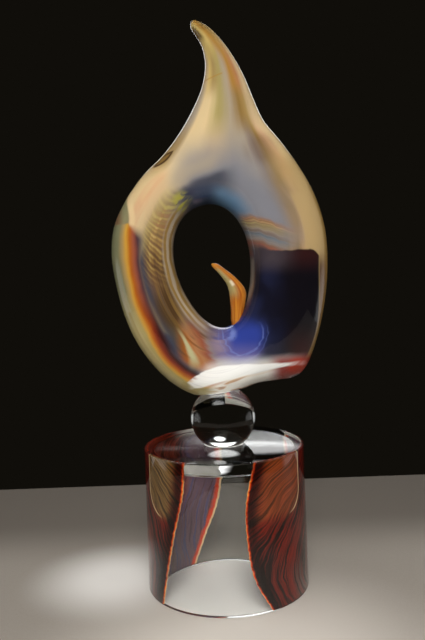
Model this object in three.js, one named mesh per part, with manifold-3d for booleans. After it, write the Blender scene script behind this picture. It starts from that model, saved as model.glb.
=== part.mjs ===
// Glass sculpture: a flame-shaped ring of cased glass on a clear ball and a hollow cased base.
// Millimetres, +Z up, origin on the base's axis at table level, front towards -Y.

import * as THREE from 'three';
import { mergeVertices } from 'three/addons/utils/BufferGeometryUtils.js';
import Module from 'manifold-3d';

const wasm = await Module();
wasm.setup();

const clearance = 0.3; // air left between a piece and the neighbour that it is cut to

// Base: an open-bottomed cup of clear glass
const baseHeight = 115;
const baseTopRadius = 64.3;
const baseFootRadius = 65.6;
const baseWall = 7;
const basePlate = 10;
const baseInnerFillet = 5;
const baseEdgeBevel = 1;

// Coloured layers set in the base's wall. Each edge is a list of [share of the height, degrees from
// the front], positive towards +X.
const wingThickness = 3;
const wingEndInset = 1; // from the table and from the top face
const leftWingEdges = {
  front: [[0, -52], [0.22, -46.5], [0.5, -39], [0.65, -34.4], [0.8, -30.5], [1, -29]],
  back: [[0, -152], [0.2, -162.5], [0.35, -171], [0.52, -176.5], [0.87, -178.5], [1, -179]],
};
const rightWingEdges = {
  front: [[0, 30], [0.08, 25], [0.2, 18.4], [0.34, 14.4], [0.6, 12.2], [0.76, 13.2], [1, 19.5]],
  back: [[0, 138], [0.5, 128], [1, 121]],
};

// Ball and the two glue films
const ballRadius = 26;
const ballLowerReach = 20.7; // centre to the ground foot
const ballUpperReach = 21.8; // centre to the ground seat of the flame
const glueFilm = 0.4;
const neckTilt = THREE.MathUtils.degToRad(6.5); // the seat climbs towards +X

// Flame. Its own frame has the origin where its foot plane crosses the base's axis.
// Outline of the rim, clockwise seen from the front, starting at the tip of the horn. The ring's
// stations are [x, z], and the horn's are [x, share of the way up from the horn's root to its tip].
const hornRightEdge = [
  [-13, 1], [-2, 0.956], [11.7, 0.8075], [24.2, 0.593], [31.8, 0.399], [39.6, 0.2145],
  [53.4, 0.035],
];
const ringRim = [
  [67.6, 174], [78.9, 152], [86, 127], [87.6, 103], [86, 78], [80.9, 51], [73.2, 27],
  [67.4, 15.5], [59.2, 8.6], [45.2, 6.6], [28.8, 4.6], [14.6, -0.8], [-2.6, -5.6],
  [-16.4, -5], [-30, 0.4], [-43.4, 10], [-57.3, 25.6], [-68.5, 44], [-76.4, 65], [-81.5, 88.1],
  [-83.8, 111], [-80.8, 133.5], [-71, 153.2], [-56, 172.8], [-41, 186.5],
];
const hornLeftEdge = [
  [-27.1, 0.1195], [-15, 0.314], [-6.9, 0.4935], [-3.9, 0.658], [-6.1, 0.7975], [-9.9, 0.8725],
  [-14.3, 0.95],
];
const heelStation = 15; // the rim's corner at the lower right, where left and right side meet

// Opening of the ring: a leaning oval, drawn out softly towards three corners
const opening = {
  x: -3.3,
  z: 101,
  halfWidth: 30.1,
  halfHeight: 49,
  lean: -0.086, // sideways shift for each millimetre of height
  cornering: 0.043,
  cornerTurn: THREE.MathUtils.degToRad(50.4), // first corner, clockwise from the top
};

// The horn's middle line swings to the right above the opening and back to the left at its tip
const horn = {
  swingStart: 151,
  rootHeight: 191,
  tipHeight: 290.2,
  swing: 12,
  bendShare: 0.449, // of the way up from the root to the tip
  tipReturn: 22.6,
  bendPower: 2.4,
};

// Fullness is the flame's half depth over the root of its local width measure
const limbFullness = 7.1;
const tipFullness = 4.2;
const fullnessTaperStart = 165;
const casing = 3; // thickness of the clear layer at the rims
const casingFacing = 0.15; // fullness that each millimetre of that layer takes off the core
const casingThinning = 0.3; // share that the clear layer loses on its way up the horn

// Amber hook in the opening: [x, z, radius] from the root to the tip, in the flame's frame
const tongueLine = [
  [13, 46, 4.8], [14.6, 60.3, 5.4], [15.2, 70, 6.4], [15, 78.2, 6.8], [10.8, 86.6, 4.8],
  [4.2, 94, 3.2], [-0.2, 98.2, 2.6], [-4.8, 101.4, 1.9],
];

// Facets
const roundSides = 60;
const ballSides = 40;
const filmSides = 40;
const filletSteps = 4;
const wingRows = 9;
const wingDegreesPerStep = 6;
const linesPerStation = 2;
const cellsAcrossLimb = 8;
const outlineSamples = 240;
const bisections = 24;
const tongueSides = 14;
const tongueSteps = 18;

// Geometry helpers

function signedVolume(geometry) {
  const p = geometry.attributes.position;
  const index = geometry.index.array;
  const a = new THREE.Vector3();
  const b = new THREE.Vector3();
  const c = new THREE.Vector3();
  let volume = 0;
  for (let i = 0; i < index.length; i += 3) {
    a.fromBufferAttribute(p, index[i]);
    b.fromBufferAttribute(p, index[i + 1]);
    c.fromBufferAttribute(p, index[i + 2]);
    volume += a.dot(b.cross(c)) / 6;
  }
  return volume;
}

// One closed body of shared vertices with its faces pointing out
function closed(source) {
  const open = source.clone();
  open.deleteAttribute('normal');
  open.deleteAttribute('uv');
  const merged = mergeVertices(open, 1e-4);
  const index = merged.index.array;
  const kept = [];
  for (let i = 0; i < index.length; i += 3) {
    const [a, b, c] = [index[i], index[i + 1], index[i + 2]];
    if (a !== b && b !== c && c !== a) kept.push(a, b, c);
  }
  merged.setIndex(kept);
  if (signedVolume(merged) < 0) merged.setIndex(kept.reverse());
  return merged;
}

function toManifold(geometry) {
  const body = closed(geometry);
  return new wasm.Manifold(new wasm.Mesh({
    numProp: 3,
    vertProperties: new Float32Array(body.attributes.position.array),
    triVerts: new Uint32Array(body.index.array),
  }));
}

function toGeometry(solid) {
  const mesh = solid.getMesh();
  const geometry = new THREE.BufferGeometry();
  geometry.setAttribute('position', new THREE.BufferAttribute(mesh.vertProperties, 3));
  geometry.setIndex(new THREE.BufferAttribute(mesh.triVerts, 1));
  geometry.computeVertexNormals();
  return geometry;
}

function cut(body, ...tools) {
  return toGeometry(tools.reduce((rest, tool) => rest.subtract(toManifold(tool)), toManifold(body)));
}

// The same body with every vertex moved outwards by a small distance
function grown(geometry, distance) {
  const body = closed(geometry);
  body.computeVertexNormals();
  const p = body.attributes.position;
  const n = body.attributes.normal;
  for (let i = 0; i < p.count; i++) {
    p.setXYZ(
      i,
      p.getX(i) + n.getX(i) * distance,
      p.getY(i) + n.getY(i) * distance,
      p.getZ(i) + n.getZ(i) * distance,
    );
  }
  return body;
}

// A profile of [radius, height] pairs turned about the vertical axis
function turned(profile, sides) {
  const points = profile.map(([radius, height]) => new THREE.Vector2(radius, height));
  return new THREE.LatheGeometry(points, sides).rotateX(Math.PI / 2);
}

// Block whose upper (side -1) or lower (side +1) face lies on the plane through the origin that climbs
// towards +X by the angle tilt
function halfSpace(side, tilt, size) {
  return new THREE.BoxGeometry(size, size, size).translate(0, 0, (side * size) / 2).rotateY(-tilt);
}

// A closed grid that wraps round both ways, or is capped where capped is true
function gridBody(rows, columns, pointAt, capped) {
  const positions = [];
  const index = [];
  const rowCount = capped ? rows + 1 : rows;
  for (let i = 0; i < rowCount; i++) {
    for (let j = 0; j < columns; j++) positions.push(...pointAt(i, j));
  }
  for (let i = 0; i < rows; i++) {
    const next = capped ? i + 1 : (i + 1) % rows;
    for (let j = 0; j < columns; j++) {
      const k = (j + 1) % columns;
      const [a, b] = [i * columns + j, i * columns + k];
      const [c, d] = [next * columns + k, next * columns + j];
      index.push(a, b, c, a, c, d);
    }
  }
  if (capped) {
    for (let j = 1; j < columns - 1; j++) {
      const last = rows * columns;
      index.push(0, j + 1, j, last, last + j, last + j + 1);
    }
  }
  const geometry = new THREE.BufferGeometry();
  geometry.setAttribute('position', new THREE.Float32BufferAttribute(positions, 3));
  geometry.setIndex(index);
  return geometry;
}

// Base

function baseRadiusAt(z) {
  return THREE.MathUtils.lerp(baseFootRadius, baseTopRadius, z / baseHeight);
}

function baseProfile() {
  const plateUnderside = baseHeight - basePlate;
  const innerTop = baseRadiusAt(plateUnderside) - baseWall;
  const profile = [[0, plateUnderside]];
  for (let i = 0; i <= filletSteps; i++) {
    const angle = (i / filletSteps) * (Math.PI / 2);
    profile.push([
      innerTop - baseInnerFillet * (1 - Math.sin(angle)),
      plateUnderside - baseInnerFillet * (1 - Math.cos(angle)),
    ]);
  }
  profile.push(
    [baseFootRadius - baseWall, 0],
    [baseFootRadius - baseEdgeBevel, 0],
    [baseRadiusAt(baseEdgeBevel), baseEdgeBevel],
    [baseRadiusAt(baseHeight - baseEdgeBevel), baseHeight - baseEdgeBevel],
    [baseTopRadius - baseEdgeBevel, baseHeight],
    [0, baseHeight],
  );
  return profile;
}

// Smooth curve of the angle over the height through an edge's stations
function edgeAngle(edge) {
  const heights = edge.map(([share]) => share * baseHeight);
  const angles = edge.map(([, degrees]) => THREE.MathUtils.degToRad(degrees));
  const curve = new THREE.CubicInterpolant(heights, angles, 1);
  return (z) => curve.evaluate(z)[0];
}

// Panel bent round the base between its two edges; spare is the room added on every side, and outer
// the distance by which the panel stands past the base's face
function bentPanel(edges, spare, outer) {
  const front = edgeAngle(edges.front);
  const back = edgeAngle(edges.back);
  const degrees = Math.abs(edges.back.at(-1)[1] - edges.front.at(-1)[1]);
  const steps = Math.ceil(degrees / wingDegreesPerStep);
  const panel = new THREE.BoxGeometry(1, 1, 1, steps, 1, wingRows).translate(0.5, 0.5, 0.5);
  const side = Math.sign(edges.back.at(-1)[1] - edges.front.at(-1)[1]);
  const p = panel.attributes.position;
  const low = wingEndInset - spare;
  const high = baseHeight - wingEndInset + spare;
  for (let i = 0; i < p.count; i++) {
    const z = THREE.MathUtils.lerp(low, high, p.getZ(i));
    const turn = (side * spare) / baseRadiusAt(z);
    const angle = THREE.MathUtils.lerp(front(z) - turn, back(z) + turn, p.getX(i));
    const inner = baseRadiusAt(z) - wingThickness - spare;
    const radius = THREE.MathUtils.lerp(inner, baseRadiusAt(z) + outer, p.getY(i));
    p.setXYZ(i, radius * Math.sin(angle), -radius * Math.cos(angle), z);
  }
  return panel;
}

function wing(edges) {
  return closed(bentPanel(edges, 0, 0));
}

function wingPocket(edges) {
  return bentPanel(edges, clearance, wingThickness);
}

function baseCup() {
  const body = turned(baseProfile(), roundSides);
  return cut(body, wingPocket(leftWingEdges), wingPocket(rightWingEdges));
}

// Ball and films

function flatRadius(reach) {
  return Math.sqrt(ballRadius ** 2 - reach ** 2);
}

function ball() {
  const body = new THREE.SphereGeometry(ballRadius, ballSides, ballSides / 2).rotateX(Math.PI / 2);
  const size = 4 * ballRadius;
  const below = halfSpace(-1, 0, size).translate(0, 0, -ballLowerReach);
  const above = halfSpace(1, 0, size).translate(0, 0, ballUpperReach).rotateY(-neckTilt);
  return cut(body, below, above);
}

function film(radius) {
  return new THREE.CylinderGeometry(radius, radius, glueFilm, filmSides).rotateX(Math.PI / 2);
}

// Flame

function hornHeight(share) {
  return THREE.MathUtils.lerp(horn.rootHeight, horn.tipHeight, share);
}

function onHorn([x, share]) {
  return [x, hornHeight(share)];
}

const flameRim = [...hornRightEdge.map(onHorn), ...ringRim, ...hornLeftEdge.map(onHorn)];
const rimCurve = new THREE.CatmullRomCurve3(
  flameRim.map(([x, z]) => new THREE.Vector3(x, 0, z)),
  true,
  'centripetal',
);

function openingFactor(angle) {
  return 1 + opening.cornering * Math.cos(3 * (angle - opening.cornerTurn));
}

function openingPoint(angle) {
  const reach = openingFactor(angle);
  const up = opening.halfHeight * reach * Math.cos(angle);
  const along = opening.halfWidth * reach * Math.sin(angle);
  return { x: opening.x + along + opening.lean * up, z: opening.z + up };
}

function hornSwing(z) {
  const rise = THREE.MathUtils.smoothstep(z, horn.swingStart, horn.rootHeight);
  const bendHeight = hornHeight(horn.bendShare);
  const bend = Math.max(0, (z - bendHeight) / (horn.tipHeight - bendHeight));
  return horn.swing * rise - horn.tipReturn * bend ** horn.bendPower;
}

// Point on the rim and the point of the opening that lies behind it, seen from the opening's middle
function sectionLine(u) {
  const rim = rimCurve.getPoint(u);
  const swing = hornSwing(rim.z);
  const up = (rim.z - opening.z) / opening.halfHeight;
  const shift = opening.x + opening.lean * (rim.z - opening.z);
  const angle = Math.atan2((rim.x - swing - shift) / opening.halfWidth, up);
  return { inner: openingPoint(angle), outer: { x: rim.x - swing, z: rim.z } };
}

// Point at the share t of a section line, 0 at the opening and 1 at the rim
function pointOnLine(line, t) {
  const z = THREE.MathUtils.lerp(line.inner.z, line.outer.z, t);
  return { x: THREE.MathUtils.lerp(line.inner.x, line.outer.x, t) + hornSwing(z), z };
}

function sampled(pointAt, from, to, count) {
  const points = [];
  for (let i = 0; i <= count; i++) points.push(pointAt(THREE.MathUtils.lerp(from, to, i / count)));
  return points;
}

const heelShare = heelStation / flameRim.length;
const rightSide = sampled((u) => rimCurve.getPoint(u), 0, heelShare, outlineSamples);
const leftSide = sampled((u) => rimCurve.getPoint(u), heelShare, 1, outlineSamples);
const openingEdge = sampled(openingPoint, 0, 2 * Math.PI, outlineSamples);

function distanceTo(outline, point) {
  let nearest = Infinity;
  for (let i = 1; i < outline.length; i++) {
    const [a, b] = [outline[i - 1], outline[i]];
    const [dx, dz] = [b.x - a.x, b.z - a.z];
    const share = ((point.x - a.x) * dx + (point.z - a.z) * dz) / (dx * dx + dz * dz);
    const t = THREE.MathUtils.clamp(share, 0, 1);
    nearest = Math.min(nearest, Math.hypot(point.x - a.x - dx * t, point.z - a.z - dz * t));
  }
  return nearest;
}

// Soft distance to the rim, which rounds its corners off, and the distance to the opening
function edgeDistances(point) {
  const rim = 1 / (1 / distanceTo(leftSide, point) + 1 / distanceTo(rightSide, point));
  return { rim, hole: distanceTo(openingEdge, point) };
}

// Inset that is left at a height, as the clear layer thins up the horn
function insetAt(z, inset) {
  const rise = (z - horn.rootHeight) / (horn.tipHeight - horn.rootHeight);
  return inset * (1 - casingThinning * THREE.MathUtils.clamp(rise, 0, 1));
}

// Half depth of the flame, or of the body that lies inset millimetres inside its edges
function halfDepth(point, fullInset) {
  const { rim, hole } = edgeDistances(point);
  const inset = insetAt(point.z, fullInset);
  if (Math.min(rim, hole) <= inset) return 0;
  const widthMeasure = 1 / (1 / (rim - inset) + 1 / (hole - inset));
  const taper = THREE.MathUtils.clamp(
    (point.z - fullnessTaperStart) / (horn.tipHeight - fullnessTaperStart), 0, 1);
  const fullness = THREE.MathUtils.lerp(limbFullness, tipFullness, taper) - casingFacing * inset;
  return fullness * Math.sqrt(widthMeasure);
}

// Share of a section line where the inset body begins (from 0) or ends (from 1)
function insetShare(line, inset, from) {
  let [outside, inside] = [from, 0.5];
  for (let i = 0; i < bisections; i++) {
    const t = (outside + inside) / 2;
    const point = pointOnLine(line, t);
    const { rim, hole } = edgeDistances(point);
    if ((from === 0 ? hole : rim) < insetAt(point.z, inset)) outside = t;
    else inside = t;
  }
  return inside;
}

function flameBody(inset) {
  const lines = flameRim.length * linesPerStation;
  const columns = 2 * cellsAcrossLimb;
  const sections = [];
  for (let i = 0; i < lines; i++) {
    const line = sectionLine(i / lines);
    const start = inset > 0 ? insetShare(line, inset, 0) : 0;
    const end = inset > 0 ? insetShare(line, inset, 1) : 1;
    sections.push({ line, start, end });
  }
  return gridBody(lines, columns, (i, j) => {
    const { line, start, end } = sections[i];
    const round = (1 - Math.cos((2 * Math.PI * j) / columns)) / 2;
    const point = pointOnLine(line, THREE.MathUtils.lerp(start, end, round));
    const edge = j === 0 || j === cellsAcrossLimb;
    const depth = edge ? 0 : halfDepth(point, inset);
    return [point.x, j < cellsAcrossLimb ? -depth : depth, point.z];
  }, false);
}

const belowFoot = halfSpace(-1, neckTilt, 2 * (horn.tipHeight - opening.z));

function flameCasing() {
  return cut(flameBody(0), grown(flameBody(casing), clearance), belowFoot);
}

function flameCore() {
  return cut(flameBody(casing), belowFoot);
}

// Round tube of changing radius along a line in the plane y = 0
function innerTongue() {
  const path = new THREE.CatmullRomCurve3(tongueLine.map(([x, z]) => new THREE.Vector3(x, 0, z)));
  const radii = new THREE.CatmullRomCurve3(tongueLine.map(([, , r]) => new THREE.Vector3(r, 0, 0)));
  const body = gridBody(tongueSteps, tongueSides, (i, j) => {
    const share = i / tongueSteps;
    const centre = path.getPoint(share);
    const along = path.getTangent(share);
    const radius = radii.getPoint(share).x;
    const angle = (2 * Math.PI * j) / tongueSides;
    const across = radius * Math.cos(angle);
    return [centre.x + along.z * across, radius * Math.sin(angle), centre.z - along.x * across];
  }, true);
  return cut(body, grown(flameBody(0), clearance));
}

// Materials

function glass(color, roughness) {
  return new THREE.MeshStandardMaterial({ color, roughness, metalness: 0 });
}

const clearGlass = glass('#dfe4e2', 0.04);
const glue = glass('#eef0ea', 0.15);
const maroonGlass = glass('#5a1f18', 0.12);
const marbledGlass = glass('#a8763c', 0.15);
const amberGlass = glass('#d07820', 0.1);

// Assembly

const sculpture = new THREE.Group();

function addMesh(parent, name, geometry, material) {
  const mesh = new THREE.Mesh(geometry, material);
  mesh.name = name;
  parent.add(mesh);
  return mesh;
}

addMesh(sculpture, 'base_cup', baseCup(), clearGlass);
addMesh(sculpture, 'left_wing', wing(leftWingEdges), maroonGlass);
addMesh(sculpture, 'right_wing', wing(rightWingEdges), maroonGlass);
addMesh(sculpture, 'base_glue_film', film(flatRadius(ballLowerReach)), glue)
  .position.z = baseHeight + glueFilm / 2;

const ballCentre = baseHeight + glueFilm + ballLowerReach;
addMesh(sculpture, 'ball', ball(), clearGlass).position.z = ballCentre;

const neck = new THREE.Group();
neck.position.z = ballCentre;
neck.rotation.y = -neckTilt;
sculpture.add(neck);
addMesh(neck, 'neck_glue_film', film(flatRadius(ballUpperReach)), glue)
  .position.z = ballUpperReach + clearance + glueFilm / 2;

const flame = new THREE.Group();
const footReach = ballUpperReach + 2 * clearance + glueFilm;
flame.position.z = ballCentre + footReach / Math.cos(neckTilt);
sculpture.add(flame);
addMesh(flame, 'flame_casing', flameCasing(), clearGlass);
addMesh(flame, 'flame_core', flameCore(), marbledGlass);
addMesh(flame, 'inner_tongue', innerTongue(), amberGlass);

export default sculpture;
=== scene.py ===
"""Glass sculpture: a flame-shaped ring of cased glass on a clear ball and a hollow cased base.

Shapes are worked out in millimetres and brought to metres as each mesh is finished.
"""

import logging
import math
from dataclasses import dataclass, field
from enum import Enum, IntEnum

import bmesh
import bpy
import numpy as np
from mathutils import Matrix, Vector


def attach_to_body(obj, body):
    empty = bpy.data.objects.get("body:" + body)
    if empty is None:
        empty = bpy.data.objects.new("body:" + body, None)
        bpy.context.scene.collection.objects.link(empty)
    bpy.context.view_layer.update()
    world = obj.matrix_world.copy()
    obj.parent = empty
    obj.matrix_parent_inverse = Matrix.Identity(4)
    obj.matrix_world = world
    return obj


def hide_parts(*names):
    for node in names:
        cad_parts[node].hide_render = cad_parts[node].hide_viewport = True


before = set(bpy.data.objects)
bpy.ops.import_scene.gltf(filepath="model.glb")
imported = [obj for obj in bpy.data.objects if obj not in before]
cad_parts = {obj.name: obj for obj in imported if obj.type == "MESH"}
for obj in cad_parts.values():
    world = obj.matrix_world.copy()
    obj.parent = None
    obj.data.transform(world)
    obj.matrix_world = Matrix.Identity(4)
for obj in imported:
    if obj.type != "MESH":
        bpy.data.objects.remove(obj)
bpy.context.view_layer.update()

MM = 0.001
MERGE = 1e-3  # millimetres at which doubled vertices become one
CUT = 1e-4  # millimetres of play in a cut
TINY = 1e-6  # least length that is divided by
CLEAR_SLOT = 0  # material slot of a clear piece's outer faces
JOINT_SLOT = 1  # material slot of the faces at which it is joined to a neighbour
LOG = logging.getLogger("sculpture")
ROOT = "root"
Point = tuple[float, float]
Edge = tuple[Point, ...]
Colour = tuple[float, float, float]
Stops = list[tuple[float, Colour]]


def hex_colour(code: str) -> Colour:
    """Turn a colour as seen on screen into the linear values that a shader takes.

    Args:
        code: six hexadecimal digits after a hash sign.

    Returns:
        Linear red, green and blue.
    """
    channels = [int(code[i : i + 2], 16) / 255 for i in (1, 3, 5)]
    return tuple(c / 12.92 if c <= 0.04045 else ((c + 0.055) / 1.055) ** 2.4 for c in channels)


def mix(low: float, high: float, share: float) -> float:
    """Value at a share of the way from low to high."""
    return low + (high - low) * share


def ease(low: float, high: float, value: float) -> float:
    """Smooth step from 0 at low to 1 at high."""
    share = min(max((value - low) / (high - low), 0.0), 1.0)
    return share * share * (3 - 2 * share)


# Shader maths


class Signal:
    """A socket of a shader's node tree, with arithmetic that adds the nodes it needs."""

    def __init__(self, shader: "Shader", socket: bpy.types.NodeSocket) -> None:
        """Wrap a socket.

        Args:
            shader: the shader whose tree holds the socket.
            socket: the output socket.
        """
        self.shader = shader
        self.socket = socket

    def math(self, operation: str, *others: "Signal | float") -> "Signal":
        """Result of a Math node on this signal and the others."""
        return self.shader.math(operation, self, *others)

    def __add__(self, other: "Signal | float") -> "Signal":
        """Sum of two values."""
        return self.math("ADD", other)

    __radd__ = __add__

    def __sub__(self, other: "Signal | float") -> "Signal":
        """Difference of two values."""
        return self.math("SUBTRACT", other)

    def __rsub__(self, other: float) -> "Signal":
        """Number less this value."""
        return self.shader.math("SUBTRACT", other, self)

    def __mul__(self, other: "Signal | float") -> "Signal":
        """Product of two values."""
        return self.math("MULTIPLY", other)

    __rmul__ = __mul__

    def __truediv__(self, other: "Signal | float") -> "Signal":
        """Quotient of two values."""
        return self.math("DIVIDE", other)

    def __pow__(self, power: float) -> "Signal":
        """Value raised to a power."""
        return self.math("POWER", power)

    def __abs__(self) -> "Signal":
        """Size of the value."""
        return self.math("ABSOLUTE")

    def rise(self, low: float, high: float) -> "Signal":
        """Smooth step of this value.

        Args:
            low: value at which the step starts.
            high: value at which it is over.

        Returns:
            A mask from 0 at low to 1 at high.
        """
        shown = {"interpolation_type": "SMOOTHSTEP", "clamp": True}
        links = {"Value": self, "From Min": low, "From Max": high}
        return self.shader.add("ShaderNodeMapRange", shown, links)

    def fall(self, low: float, high: float) -> "Signal":
        """Smooth step of this value, from 1 at low to 0 at high."""
        return 1 - self.rise(low, high)

    def band(self, low: float, high: float, soft: float) -> "Signal":
        """Mask that is 1 between two values and fades out over a soft margin around each."""
        return self.rise(low - soft, low + soft) * self.fall(high - soft, high + soft)


class Shader:
    """A node tree and the few ways in which this file adds nodes to it."""

    def __init__(self, owner: bpy.types.Material | bpy.types.World | bpy.types.Light) -> None:
        """Start with an empty tree.

        Args:
            owner: the material, world or lamp that the tree belongs to.
        """
        self.owner = owner
        owner.use_nodes = True
        self.tree = owner.node_tree
        self.tree.nodes.clear()

    def add(
        self,
        kind: str,
        settings: dict[str, object] | None = None,
        sockets: dict[str | int, "Signal | float | tuple"] | None = None,
        output: str | int = 0,
    ) -> Signal:
        """Add a node.

        Args:
            kind: the node's type.
            settings: attributes of the node, set first; "stops" fills a colour ramp.
            sockets: values or signals for the inputs, by name or number.
            output: the output socket wanted.

        Returns:
            The output as a signal.
        """
        node = self.tree.nodes.new(kind)
        for key, value in (settings or {}).items():
            if key == "stops":
                self._fill_ramp(node.color_ramp, value)
            else:
                setattr(node, key, value)
        for key, value in (sockets or {}).items():
            self._feed(node.inputs[key], value)
        return Signal(self, node.outputs[output])

    def _fill_ramp(self, ramp: bpy.types.ColorRamp, stops: Stops) -> None:
        """Give a colour ramp its stops.

        Args:
            ramp: the ramp of a new node.
            stops: positions from 0 to 1 with their colours.
        """
        while len(ramp.elements) < len(stops):
            ramp.elements.new(0.5)
        for element, (position, colour) in zip(ramp.elements, stops):
            element.position = position
            element.color = (*colour, 1.0)

    def _feed(self, socket: bpy.types.NodeSocket, value: "Signal | float | tuple") -> None:
        """Link a signal to an input, or set the input's own value.

        Args:
            socket: the input.
            value: a signal, or a number, colour or vector.
        """
        if isinstance(value, Signal):
            self.tree.links.new(value.socket, socket)
        elif isinstance(value, tuple) and len(value) == 3 and socket.type == "RGBA":
            socket.default_value = (*value, 1.0)
        else:
            socket.default_value = value

    def math(self, operation: str, *values: Signal | float) -> Signal:
        """Result of a Math node."""
        return self.add("ShaderNodeMath", {"operation": operation}, dict(enumerate(values)))

    def blend(self, base: Signal | Colour, over: Signal | Colour, mask: Signal | float) -> Signal:
        """Lay one colour over another; the Mix node's colour sockets go by number.

        Args:
            base: the colour where the mask is 0.
            over: the colour where it is 1.
            mask: where the second colour lies.

        Returns:
            The blended colour.
        """
        sockets = {"Factor": mask, 6: base, 7: over}
        return self.add("ShaderNodeMix", {"data_type": "RGBA"}, sockets, output=2)

    def ramp(self, share: Signal, stops: Stops) -> Signal:
        """Colour of a ramp at a share."""
        return self.add("ShaderNodeValToRGB", {"stops": stops}, {"Fac": share})

    def vector(self, x: Signal | float, y: Signal | float, z: Signal | float) -> Signal:
        """Vector of three values."""
        return self.add("ShaderNodeCombineXYZ", None, {0: x, 1: y, 2: z})

    def parts(self, vector: Signal) -> tuple[Signal, Signal, Signal]:
        """The three values of a vector.

        Args:
            vector: the vector's signal.

        Returns:
            One signal for each value.
        """
        first = self.add("ShaderNodeSeparateXYZ", None, {0: vector})
        return tuple(Signal(self, output) for output in first.socket.node.outputs)

    def place(self) -> tuple[Signal, Signal, Signal]:
        """Object coordinates in millimetres."""
        spot = self.add("ShaderNodeTexCoord", output="Object")
        return tuple(value * (1 / MM) for value in self.parts(spot))

    def attribute(self, name: str) -> tuple[Signal, Signal, Signal]:
        """The three values of a mesh's own vector attribute."""
        stored = self.add("ShaderNodeAttribute", {"attribute_name": name}, output="Vector")
        return self.parts(stored)

    def noise(self, spot: Signal, scale: float, detail: float = 3, warp: float = 0) -> Signal:
        """Cloudy value around 0.5 at a spot."""
        sockets = {"Vector": spot, "Scale": scale, "Detail": detail, "Distortion": warp}
        return self.add("ShaderNodeTexNoise", None, sockets)

    def light_path(self, output: str) -> Signal:
        """One of the Light Path node's answers."""
        return self.add("ShaderNodeLightPath", output=output)

    def bump(self, height: Signal, strength: float, distance: float) -> Signal:
        """Normal roughened by a height."""
        sockets = {"Height": height, "Strength": strength, "Distance": distance}
        return self.add("ShaderNodeBump", None, sockets)

    def principled(self, **sockets: Signal | float | tuple) -> Signal:
        """Principled surface; underscores in the names stand for spaces."""
        named = {key.replace("_", " "): value for key, value in sockets.items()}
        return self.add("ShaderNodeBsdfPrincipled", None, named)

    def letting_lamps_through(self, surface: Signal, tint: Colour) -> Signal:
        """Let lamps shine through a surface that is unchanged to the eye.

        Args:
            surface: the surface.
            tint: the colour that the lamps' light takes.

        Returns:
            The surface to finish the material with.
        """
        clear = self.add("ShaderNodeBsdfTransparent", None, {"Color": tint})
        shadow = self.light_path("Is Shadow Ray")
        return self.add("ShaderNodeMixShader", None, {0: shadow, 1: surface, 2: clear})

    def finish(self, surface: Signal, kind: str = "Material") -> bpy.types.ID:
        """Link the surface to an output node.

        Args:
            surface: the shader signal.
            kind: Material, World or Light.

        Returns:
            The finished owner of the tree.
        """
        node = self.tree.nodes.new(f"ShaderNodeOutput{kind}")
        self.tree.links.new(surface.socket, node.inputs["Surface"])
        return self.owner


# Finishes


@dataclass(frozen=True)
class ClearGlass:
    """Clear, fire-polished glass."""

    tint: Colour = (0.965, 0.98, 0.97)
    shadow_tint: Colour = (0.98, 0.985, 0.98)
    ior: float = 1.5
    wave_scale: float = 0.05
    wave_stretch: float = 0.6
    wave_height: float = 0.4 * MM
    wave_strength: float = 0.12

    def material(self) -> bpy.types.Material:
        """Build the material of the glass, with the faint waves of a hand-polished face.

        Returns:
            The material.
        """
        shader = Shader(bpy.data.materials.new("clear_glass"))
        x, y, z = shader.place()
        waves = shader.noise(shader.vector(x, y, z * self.wave_stretch), self.wave_scale, 1)
        surface = shader.principled(
            Base_Color=self.tint,
            Roughness=0.0,
            IOR=self.ior,
            Transmission_Weight=1.0,
            Normal=shader.bump(waves, self.wave_strength, self.wave_height),
        )
        return shader.finish(shader.letting_lamps_through(surface, self.shadow_tint))


@dataclass(frozen=True)
class FusedJoint:
    """The face between two pieces of glass that are fused, which bends no light."""

    tint: Colour = (1.0, 1.0, 1.0)

    def material(self) -> bpy.types.Material:
        """Material that lets everything through unbent."""
        shader = Shader(bpy.data.materials.new("fused_joint"))
        return shader.finish(shader.add("ShaderNodeBsdfTransparent", None, {"Color": self.tint}))


@dataclass(frozen=True)
class CuredGlue:
    """Clear cured adhesive, which scatters a little light."""

    milk: Colour = hex_colour("#f4f3ee")
    least_cover: float = 0.7
    roughness: float = 0.3
    cloud_scale: float = 0.35

    def material(self) -> bpy.types.Material:
        """Build the material of the film, milkier where it cured with fine bubbles.

        Returns:
            The material.
        """
        shader = Shader(bpy.data.materials.new("cured_glue"))
        x, y, z = shader.place()
        cloud = shader.noise(shader.vector(x, y, z), self.cloud_scale, 2).rise(0.3, 0.75)
        cover = cloud * (1 - self.least_cover) + self.least_cover
        surface = shader.principled(
            Base_Color=self.milk, Roughness=self.roughness, Alpha=cover
        )
        return shader.finish(surface)


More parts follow.
